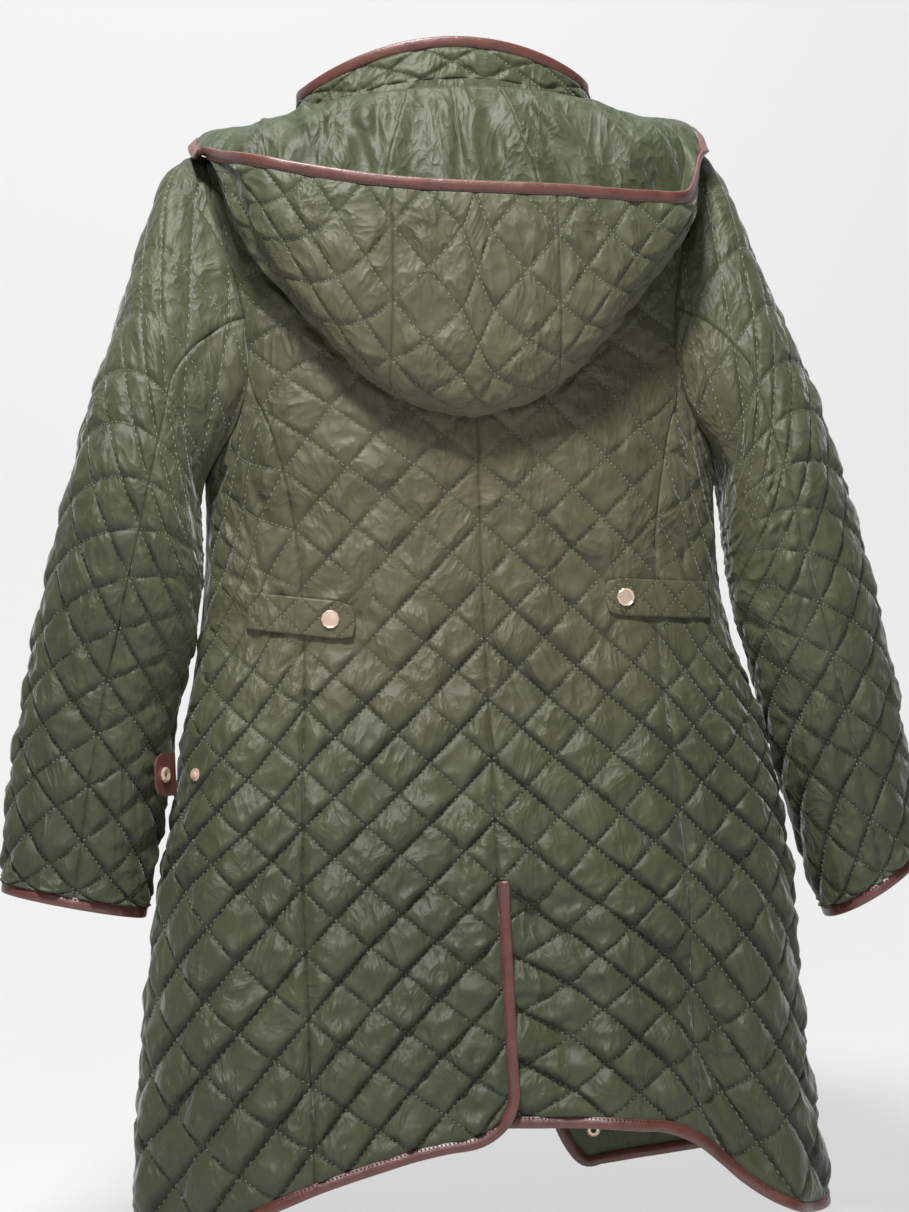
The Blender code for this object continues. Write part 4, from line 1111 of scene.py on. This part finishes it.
def nylon(name, light, dark, lined):
    """Glossy woven nylon: a fine weave, sharp wrinkles, painted shade along its stitching and painted light
    over the middle of the back.
    """
    made, shader = paint(name, light, 0.40)
    shader.inputs["Sheen Weight"].default_value = 0.20
    shader.inputs["Sheen Roughness"].default_value = 0.35
    shader.inputs["Specular IOR Level"].default_value = 0.42
    place = node(made, "ShaderNodeTexCoord").outputs["Object"]
    broad = noise(made, place, 7.0, 2.0)
    fine = noise(made, place, 95.0, 4.0, 0.6)
    share = maths(made, "ADD", maths(made, "MULTIPLY", fine, 0.45), maths(made, "MULTIPLY", broad, 0.6))
    # Painted light: the base colour is tinted towards a pool of light in the middle of the back
    lit_colour = blend_colour(made, painted_light_share(made, place), light, PAINTED_LIGHT_TINT)
    colour = blend_colour(made, share, dark, lit_colour)
    # Painted shade: darken the colour along the stitching lines
    if lined:
        shaded_colour = tuple(PAINTED_SHADE_TONE * value for value in dark)
        colour = blend_colour(made, painted_stitch_shade(made, place), shaded_colour, colour)
    join(made, colour, shader.inputs["Base Color"])
    rough = maths(made, "ADD", maths(made, "MULTIPLY", fine, 0.24), 0.38)
    join(made, rough, shader.inputs["Roughness"])
    folds = node(made, "ShaderNodeTexNoise", {"noise_type": "RIDGED_MULTIFRACTAL"}, Scale=22.0,
                 Detail=3.0, Roughness=0.6, Offset=1.0, Gain=2.0, Distortion=0.4)
    join(made, place_maths(made, "MULTIPLY", place, (1.0, 1.0, 0.6))[0], folds.inputs["Vector"])
    wrinkle = noise(made, place, 160.0, 5.0, 0.62)
    weave = node(made, "ShaderNodeTexWave", {"bands_direction": "DIAGONAL"}, Scale=420.0,
                 Distortion=1.0, Detail=1.0)
    join(made, place, weave.inputs["Vector"])
    bumped(made, shader, ((folds.outputs["Fac"], 0.0022), (fine, 0.0005), (wrinkle, 0.0003),
                          (weave.outputs["Fac"], 0.00008)))
    return made


def leather():
    """Reddish-brown smooth leather with a fine grain and paler high places."""
    made, shader = paint("binding_leather_fine", (0.20, 0.055, 0.040), 0.42)
    shader.inputs["Specular IOR Level"].default_value = 0.7
    shader.inputs["Coat Weight"].default_value = 0.20
    shader.inputs["Coat Roughness"].default_value = 0.25
    place = node(made, "ShaderNodeTexCoord").outputs["Object"]
    grain = node(made, "ShaderNodeTexVoronoi", Scale=900.0)
    join(made, place, grain.inputs["Vector"])
    cloudy = noise(made, place, 60.0, 5.0, 0.6)
    colour = blend_colour(made, cloudy, LEATHER_LOW, LEATHER_HIGH)
    join(made, colour, shader.inputs["Base Color"])
    rough = maths(made, "ADD", maths(made, "MULTIPLY", cloudy, 0.25), 0.28)
    join(made, rough, shader.inputs["Roughness"])
    bumped(made, shader, ((cloudy, 0.0012), (grain.outputs["Distance"], 0.00012)))
    return made


def metal():
    """Pale rose-gold plated metal with faint handling marks."""
    made, shader = paint("snap_metal_fine", (0.90, 0.68, 0.54), 0.30, 0.6)
    place = node(made, "ShaderNodeTexCoord").outputs["Object"]
    marks = noise(made, place, 700.0, 4.0)
    rough = maths(made, "ADD", maths(made, "MULTIPLY", marks, 0.20), 0.24)
    join(made, rough, shader.inputs["Roughness"])
    bumped(made, shader, ((marks, 0.00006),))
    return made


def thread(name, colour):
    """Matt sewing thread."""
    made, shader = paint(name, colour, 0.75)
    place = node(made, "ShaderNodeTexCoord").outputs["Object"]
    twist = noise(made, place, 1500.0, 2.0)
    bumped(made, shader, ((twist, 0.0001),))
    return made


# The lining's colours are set darker than the outer nylon's, as painted shade of its folds inside the hood
LINING = nylon("lining_nylon_fine", (0.068, 0.086, 0.041), (0.022, 0.034, 0.016), False)
NYLON = nylon("quilted_nylon_fine", (0.080, 0.092, 0.047), (0.028, 0.038, 0.018), True)
LEATHER = leather()
METAL = metal()
THREAD = thread("green_thread", (0.24, 0.28, 0.19))
BROWN_THREAD = thread("brown_thread", (0.12, 0.045, 0.035))

# Creases, listed one by one: width in half diamonds, height in metres, then places (column, row)
CREASES = {
    "back_left": (
        (0.16, -0.0036, (1.2, 10.6), (1.4, 9.5)), (0.16, -0.0032, (1.5, 9.1), (1.5, 8.2)),
        (0.22, -0.0026, (6.0, 10.9), (5.9, 7.8), (5.9, 4.6)), (0.3, -0.0045, (4.2, 28.2), (3.5, 26.8)),
        (0.22, 0.003, (5.0, 29.5), (4.5, 28.0), (3.8, 26.8)),
    ),
    "back_right": (
        (0.8, 0.004, (3.4, 0.6), (3.6, 9.5)), (0.5, 0.004, (5.2, 1.0), (5.1, 8.0)),
        (0.6, -0.0024, (5.1, 23.6), (5.5, 21.4), (5.8, 19.2)), (0.2, -0.0034, (0.8, 11.0), (1.4, 9.4)),
        (0.22, -0.0038, (0.9, 8.2), (1.8, 6.4)), (0.22, -0.0042, (1.8, 5.0), (1.9, 3.4), (1.9, 1.9)),
        (0.6, -0.0026, (2.1, 7.8), (2.5, 5.6), (2.4, 1.4)), (0.16, -0.0028, (6.0, 6.2), (5.5, 5.5)),
        (0.2, 0.002, (0.2, 9.6), (0.0, 8.4)), (0.3, -0.003, (4.6, 11.4), (5.0, 9.8), (5.2, 7.8)),
        (0.25, -0.003, (4.1, 2.1), (4.6, 0.4)), (0.22, -0.0026, (2.9, 1.4), (3.1, 0.0)),
    ),
    "collar": (
        (0.14, -0.003, (8.2, 0.0), (8.5, 1.0)), (0.12, -0.003, (9.1, 0.0), (9.0, 0.8)),
        (0.14, -0.003, (9.8, 0.0), (10.2, 1.1)), (0.12, -0.003, (10.7, 0.0), (10.6, 0.7)),
        (0.14, -0.003, (11.5, 0.0), (11.8, 1.0)), (0.12, -0.003, (12.6, 0.0), (12.4, 0.8)),
        (0.14, -0.003, (13.3, 0.0), (13.7, 1.0)), (0.12, -0.003, (14.4, 0.0), (14.3, 0.8)),
        (0.13, -0.003, (15.2, 0.0), (15.6, 0.9)), (0.12, -0.003, (16.1, 0.0), (16.0, 0.7)),
    ),
    "hood_centre": (
        (0.2, -0.003, (0.5, 17.2), (0.6, 16.5)), (0.2, -0.003, (0.1, 15.0), (0.6, 14.2)),
    ),
    "hood_left": (
        (0.3, -0.0045, (5.4, 17.9), (6.9, 13.8), (8.0, 12.4), (9.1, 11.6)),
        (0.22, 0.003, (5.0, 17.2), (6.6, 12.6), (7.9, 11.6)),
    ),
    "hood_right": (
        (0.2, -0.003, (1.1, 17.5), (1.5, 16.8)), (0.2, -0.0028, (2.9, 18.0), (3.4, 17.1)),
    ),
    "side_back_left": (
        (1.2, 0.007, (2.6, 0.6), (2.8, 16.0)), (0.6, -0.003, (4.9, 3.0), (4.6, 13.0)),
        (0.2, -0.005, (0.0, 25.4), (1.0, 25.1), (2.6, 25.1), (5.4, 24.5)),
        (0.16, -0.003, (1.2, 23.9), (0.6, 21.2)), (0.2, -0.0028, (2.5, 23.6), (1.0, 19.6)),
        (0.16, -0.0024, (4.0, 24.0), (1.4, 20.8)), (0.18, -0.003, (4.5, 22.0), (1.6, 19.9)),
        (0.16, -0.0026, (1.0, 16.6), (0.0, 17.0)), (0.22, -0.0026, (0.0, 4.6), (0.0, 2.5)),
        (0.5, -0.003, (1.6, 9.4), (1.4, 7.0), (1.4, 4.8)),
        (0.45, -0.003, (2.9, 8.0), (2.5, 5.8), (2.0, 3.4)),
        (0.4, -0.003, (0.5, 5.8), (0.8, 3.4), (1.1, 1.5)),
    ),
    "side_back_right": (
        (1.2, 0.007, (3.3, 0.6), (3.0, 14.0)), (0.24, -0.005, (1.5, 25.9), (2.1, 24.9)),
        (0.2, -0.0036, (2.9, 25.0), (4.0, 24.4), (4.5, 23.2)), (0.18, -0.0034, (0.0, 24.6), (1.5, 24.5)),
        (0.16, -0.0028, (0.4, 23.4), (2.0, 23.9)), (0.18, -0.0034, (0.6, 21.0), (1.5, 20.6), (1.4, 19.8)),
        (0.16, -0.0032, (1.8, 14.4), (2.4, 15.0), (3.8, 14.5)), (0.16, -0.0028, (2.6, 16.9), (3.2, 16.4)),
        (0.34, -0.0044, (0.2, 7.9), (0.6, 5.9), (0.6, 3.2), (0.6, 0.2)),
        (0.55, -0.0034, (0.9, 6.0), (1.1, 3.8), (1.8, 1.4), (2.2, 0.2)),
    ),
    "sleeve_under_left": (
        (0.18, -0.004, (1.4, 1.8), (2.1, 0.5)), (0.18, -0.004, (2.9, 4.5), (2.8, 9.1)),
        (0.18, -0.0034, (0.1, 1.6), (0.4, 2.8), (0.5, 4.1)), (0.2, -0.0044, (0.1, 10.9), (0.6, 11.8)),
        (0.24, -0.004, (0.0, 14.6), (0.5, 17.0)), (0.2, -0.0036, (0.5, 10.2), (2.4, 8.8)),
        (0.26, -0.004, (3.0, 15.9), (1.4, 17.6)), (0.26, -0.004, (3.4, 18.2), (1.5, 19.2)),
        (0.26, -0.0036, (3.4, 20.4), (1.2, 21.5)), (0.26, -0.0034, (3.4, 22.5), (1.4, 23.2)),
    ),
    "sleeve_under_right": (
        (0.24, -0.005, (0.8, 1.1), (1.6, 1.0)), (0.26, -0.0046, (0.0, 7.1), (0.4, 9.1), (1.0, 8.9)),
        (0.3, -0.0048, (0.5, 10.0), (1.1, 12.5), (1.9, 14.1)),
        (0.3, -0.0044, (0.6, 13.9), (1.0, 16.6), (2.1, 19.2)),
        (0.26, -0.0036, (0.2, 18.0), (0.5, 21.0), (1.6, 23.1)), (0.22, -0.0034, (3.4, 14.2), (2.2, 15.2)),
    ),
    "sleeve_upper_left": (
        (0.2, -0.0044, (7.5, 10.2), (8.0, 11.0)), (0.3, -0.005, (7.8, 12.0), (7.9, 14.1)),
    ),
    "sleeve_upper_right": (
        (0.2, -0.003, (8.0, 4.4), (8.0, 3.9)),
    ),
}

# Gathers of the hood's lining, in the same terms; a height above 0 stands into the hood
GATHERS = {
    "hood_centre": (
        (0.22, -0.0016, (0.4, 0.9), (0.8, 2.9)), (0.3, 0.0034, (1.1, 0.0), (2.9, 1.9)),
        (0.22, -0.0016, (5.0, 0.9), (5.0, 3.0)), (0.26, 0.0034, (5.5, 1.2), (5.4, 2.9)),
        (0.2, -0.0016, (6.0, 0.0), (5.0, 3.0)), (0.3, 0.0036, (3.2, 0.1), (3.8, 2.5)),
    ),
    "hood_left": (
        (0.22, -0.0016, (8.1, 0.0), (11.1, 3.1)), (0.3, 0.004, (9.8, 0.8), (11.8, 3.0)),
        (0.3, -0.0016, (3.2, 8.2), (6.1, 4.6)), (0.3, 0.0034, (3.1, 5.6), (7.8, 4.0)),
        (0.34, 0.004, (4.6, 0.0), (9.6, 3.6)), (0.22, -0.0016, (6.5, 0.0), (10.2, 3.1)),
        (0.26, 0.0036, (10.6, 0.1), (12.0, 2.5)),
    ),
    "hood_right": (
        (0.22, -0.0016, (3.1, 0.0), (1.8, 1.6), (0.8, 2.5)), (0.26, 0.0036, (1.4, 0.2), (1.8, 2.0)),
        (0.24, -0.0016, (3.0, 1.5), (2.6, 3.2), (3.0, 5.0)), (0.34, 0.0046, (4.9, 0.0), (3.8, 5.5)),
        (0.3, 0.0036, (5.0, 1.5), (4.9, 6.4)), (0.3, -0.0016, (6.4, 4.6), (6.6, 9.2)),
    ),
}

SIDES = ((-1, "left"), (1, "right"))


def claim(obj, name):
    """Hide the CAD node that a piece shows, and tie the piece to the coat's one body."""
    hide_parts(name)
    follow(obj)


def follow(obj):
    """Tie an added piece to the coat's one body."""
    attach(obj, "root")


def toward(sheet):
    """The coarse direction in a sheet's middle."""
    return sheet.normals[sheet.rows // 2][sheet.columns // 2]


def draw_panel(name, kind, sheet, seed):
    """A quilted piece with its creases and its stitching."""
    points = spread(np.array(sheet.points), FINE)
    outs = directions(points, toward(sheet))
    u, v = lattice(sheet.rows, sheet.columns, FINE)
    up = sheet.rows - v if kind.startswith("sleeve") else v
    cross_share = CROSS_BODY if "back" in kind or "front" in kind else CROSS_OTHER
    height = quilt_height(sheet, u, v, up, cross_share, np.random.default_rng(seed)) * relief(kind, v)
    height = np.maximum(height + crease(u, v, CREASES.get(name, ())), DEEPEST)
    outer = points + outs * height[..., None]
    depth = CLOTH + np.array(sheet.lining)
    inside = np.array(sheet.points) - np.array(sheet.normals) * depth[..., None]
    inner_steps = LINING_STEPS if kind.startswith("hood") else PLAIN
    inner = spread(inside, inner_steps)
    if kind.startswith("hood"):
        iu, iv = lattice(sheet.rows, sheet.columns, inner_steps)
        fade = np.clip(to_rim(sheet, iu, iv) / LINING_RIM, 0.0, 1.0)
        gathers = crease(iu, iv, GATHERS.get(name, ())) * fade
        inner -= directions(inner, toward(sheet)) * gathers[..., None]
    obj = cloth_wall("cloth_" + name, sheet, outer, inner, inner_steps, np.stack((u, up), -1))
    claim(obj, name)
    starts, ends, lifts = quilt_stitches(sheet, outer, outs)
    stitching = stitch_mesh("stitches_" + name, starts, ends, lifts, THREAD)


def draw_body():
    """The eight panels of the body; returns their sheets."""
    sheets = {}
    for side, label in SIDES:
        for face in ("back", "front"):
            for part in ("middle", "side"):
                sheet = panel_sheet(side, face, part)
                kind = face if part == "middle" else "side_" + face
                draw_panel(kind + "_" + label, kind, sheet, len(sheets) + 1)
                sheets[(side, face, part)] = sheet
    return sheets


def draw_binding(name, path, hand, closed=False):
    """A folded leather strip along an edge, rounded, with a row of stitching."""
    points = np.array([p for p, _ in path])
    normals = np.array([n for _, n in path])
    if closed:
        points = np.concatenate((points, points[:1]))
        normals = np.concatenate((normals, normals[:1]))
    line = spread_line(points, closed)
    facing = spread_line(normals, closed)
    facing /= np.linalg.norm(facing, axis=1, keepdims=True)
    tangent = np.gradient(line, axis=0)
    if closed:
        tangent[0] = tangent[-1] = line[1] - line[-2]
    tangent /= np.maximum(np.linalg.norm(tangent, axis=1, keepdims=True), 1e-9)
    out = np.cross(tangent, facing) * hand
    out /= np.linalg.norm(out, axis=1, keepdims=True)
    across = np.cross(out, tangent)
    across *= np.sign((across * facing).sum(1, keepdims=True))
    middle = line - facing * CLOTH / 2
    grid = np.stack([middle + out * a + across * b for a, b in binding_section()], 1)
    count, sides = grid.shape[:2]
    faces = []
    for i in range(count - 1):
        for k in range(sides):
            a, b = i * sides + k, i * sides + (k + 1) % sides
            faces.append((a, b, b + sides, a + sides))
    if not closed:
        faces.append(tuple(range(sides)))
        faces.append(tuple(range((count - 1) * sides, count * sides)))
    obj = mesh_object("leather_" + name, grid.reshape(-1, 3).tolist(), faces, LEATHER)
    claim(obj, name)
    seat = middle + across * (BINDING_THICK / 2 + STITCH_SUNK)
    stitch_row("stitches_" + name, seat, across)


def binding_section():
    """Section of a folded binding: (out from the edge, across the cloth), round at its fold."""
    half = BINDING_THICK / 2
    section = [(-BINDING_WRAP, half)]
    for turn in range(-80, 81, 20):
        angle = math.radians(-turn)
        section.append((BINDING_WIDTH - half + half * math.cos(angle), half * math.sin(angle)))
    section.append((-BINDING_WRAP, -half))
    return section


def spread_line(line, closed):
    """Smooth points in between those of a binding's line."""
    led = np.concatenate((line[-2:-1], line, line[1:2])) if closed else lead(line)
    return fill_in(led, BINDING_STEPS)


def stitch_row(name, line, outs):
    """A row of stitches along the middle of a binding."""
    far = np.concatenate(([0.0], np.cumsum(np.linalg.norm(np.diff(line, axis=0), axis=1))))
    at = np.arange(BINDING_PITCH, far[-1] - BINDING_PITCH, BINDING_PITCH)

    def place(grid, where):
        return np.stack([np.interp(where, far, grid[:, k]) for k in range(3)], 1)

    ends = place(line, at + BINDING_STITCH)
    stitch_mesh(name, place(line, at), ends, place(outs, at), BROWN_THREAD)


def row_edge(sheet, r, columns):
    """Points and directions along a row of a sheet."""
    return [(sheet.points[r][c], sheet.normals[r][c]) for c in columns]


def column_edge(sheet, c, rows):
    """Points and directions along a column of a sheet."""
    return [(sheet.points[r][c], sheet.normals[r][c]) for r in rows]


def join_edges(*edges):
    """One path from several, without doubled points."""
    path = []
    for edge in edges:
        for point, normal in edge:
            if not path or (point - path[-1][0]).length > 0.002:
                path.append((point, normal))
    return path


def draw_edge_bindings(sheets):
    """The binding of each half: down the vent, along the hem and up the front."""
    across = range(PANEL_COLUMNS + 1)
    for side, label in SIDES:
        back, side_back = sheets[(side, "back", "middle")], sheets[(side, "back", "side")]
        front, side_front = sheets[(side, "front", "middle")], sheets[(side, "front", "side")]
        vent = column_edge(back, 0, range(HEM_ROWS if side < 0 else HEM_ROWS - 2, 0, -1))
        if side < 0:
            vent[0] = (vent[0][0] + vent[0][1] * VENT_BINDING_LIFT, vent[0][1])
        path = join_edges(
            vent, row_edge(back, 0, across),
            row_edge(side_back, 0, across), row_edge(side_front, 0, reversed(across)),
            row_edge(front, 0, reversed(across)), column_edge(front, 0, range(1, front.rows + 1)),
        )
        draw_binding("hem_binding_" + label, path, side)


def draw_sleeves():
    """Both sleeves: an upper and an under part, and the cuff's binding."""
    quarter = ARM_POINTS // 4
    for side, label in SIDES:
        rims = []
        for part, first in (("upper", 3 * quarter), ("under", quarter)):
            sheet = sleeve_sheet(side, first, first + 2 * quarter)
            rims.append(row_edge(sheet, SLEEVE_ROWS, range(2 * quarter)))
            name = "sleeve_" + part
            draw_panel(name + "_" + label, name, sheet, SLEEVE_SEED + first + side)
        draw_binding("cuff_binding_" + label, rims[0] + rims[1], -side, closed=True)


def draw_hood():
    """The hood in three parts, and the binding of its face edge."""
    spans = (
        ("left", -1.0, -HOOD_SEAM, HOOD_SIDE_COLUMNS),
        ("centre", -HOOD_SEAM, HOOD_SEAM, HOOD_CENTRE_COLUMNS),
        ("right", HOOD_SEAM, 1.0, HOOD_SIDE_COLUMNS),
    )
    path = []
    for seed, (label, start, end, columns) in enumerate(spans):
        sheet = hood_sheet(start, end, columns)
        top = sheet.rows
        if label == "left":
            path = join_edges(path, column_edge(sheet, 0, range(1, top)))
        path = join_edges(path, row_edge(sheet, top, range(columns + 1)))
        if label == "right":
            path = join_edges(path, column_edge(sheet, columns, range(top - 1, 0, -1)))
        draw_panel("hood_" + label, "hood_" + label, sheet, HOOD_SEED + seed)
    draw_binding("hood_binding", path, -1)


def draw_collar():
    """The collar and its binding."""
    sheet = collar_sheet()
    path = row_edge(sheet, 2, range(COLLAR_COLUMNS + 1))
    draw_panel("collar", "collar", sheet, COLLAR_SEED)
    draw_binding("collar_binding", path, -1)


def draw_tab(side, label):
    """A waist tab, sewn down at its outer end and snapped at its inner one."""
    tab = TABS[side]
    length = tab["outer_x"] - tab["inner_x"]

    def place(r, c):
        x = tab["inner_x"] + length * c / TAB_COLUMNS
        share = r / 2
        if c == 0 and r != 1:
            x += length * TAB_CORNER[0]
            share += TAB_CORNER[1] if r == 0 else -TAB_CORNER[1]
        return tab_place(side, x, share, TAB_LIFT + CLOTH)

    sheet = Sheet(2, TAB_COLUMNS, place)
    draw_panel("waist_tab_" + label, "waist_tab", sheet, TAB_SEED + side)


def paint_metal():
    """Give the carried-over metal and leather pieces their finish."""
    for name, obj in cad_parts.items():
        if "snap" in name or "stud" in name or "socket" in name:
            finish, slot = METAL, "snap_metal"
        elif name == "side_tab":
            finish, slot = LEATHER, "binding_leather"
        else:
            continue
        for holder in obj.material_slots:
            holder.material = finish


def light(name, place, size, watts, aim):
    """A soft area light turned to a point."""
    data = bpy.data.lights.new(name, "AREA")
    data.shape = "RECTANGLE"
    data.size, data.size_y = size
    data.energy = watts
    obj = bpy.data.objects.new(name, data)
    obj.location = place
    obj.rotation_euler = (Vector(aim) - Vector(place)).to_track_quat("-Z", "Y").to_euler()
    bpy.context.collection.objects.link(obj)


def draw_ground():
    """A pale sweep behind and under the coat."""
    low = CAD_BOX[0][2] - GROUND_DROP
    profile = [(GROUND_NEAR, 0.0)]
    for turn in range(0, 91, 10):
        angle = math.radians(turn)
        profile.append((GROUND_FAR - GROUND_BEND + GROUND_BEND * math.sin(angle),
                        GROUND_BEND - GROUND_BEND * math.cos(angle)))
    profile.append((GROUND_FAR, GROUND_TOP))
    points, faces = [], []
    for y, z in profile:
        points.extend(((-GROUND_HALF, y, low + z), (GROUND_HALF, y, low + z)))
    for i in range(len(profile) - 1):
        faces.append((2 * i, 2 * i + 1, 2 * i + 3, 2 * i + 2))
    ground, shader = paint("pale_ground", GROUND_TONE, 0.9)
    shader.inputs["Emission Color"].default_value = WHITE
    shader.inputs["Emission Strength"].default_value = GROUND_GLOW
    mesh_object("pale_sweep", points, faces, ground)


def set_lights():
    """Soft light from the camera's side and above, and a weak even one from all round."""
    world = bpy.data.worlds.new("studio")
    world.use_nodes = True
    world.node_tree.nodes["Background"].inputs["Color"].default_value = WHITE
    world.node_tree.nodes["Background"].inputs["Strength"].default_value = WORLD_STRENGTH
    bpy.context.scene.world = world
    bpy.context.scene.view_settings.view_transform = "Standard"
    for row in LIGHTS:
        light(*row)


def set_camera():
    """The camera at the photograph's angle, with its small roll."""
    data = bpy.data.cameras.new("camera")
    data.sensor_fit = "VERTICAL"
    data.sensor_height = 36.0
    data.lens = CAMERA_LENS
    camera = bpy.data.objects.new("camera", data)
    azimuth, height = math.radians(CAMERA_AZIMUTH), math.radians(CAMERA_HEIGHT)
    away = Vector((math.sin(azimuth) * math.cos(height), -math.cos(azimuth) * math.cos(height),
                   math.sin(height)))
    aim = Vector(CAMERA_AIM)
    camera.location = aim + away * CAMERA_DISTANCE
    turn = (-away).to_track_quat("-Z", "Y").to_matrix().to_4x4()
    roll = Matrix.Rotation(math.radians(CAMERA_ROLL), 4, "Z")
    camera.rotation_euler = (turn @ roll).to_euler()
    bpy.context.collection.objects.link(camera)
    bpy.context.scene.camera = camera


def main():
    set_camera()
    draw_ground()
    set_lights()
    sheets = draw_body()
    draw_edge_bindings(sheets)
    draw_sleeves()
    draw_hood()
    draw_collar()
    for side, label in SIDES:
        draw_tab(side, label)
    paint_metal()


main()
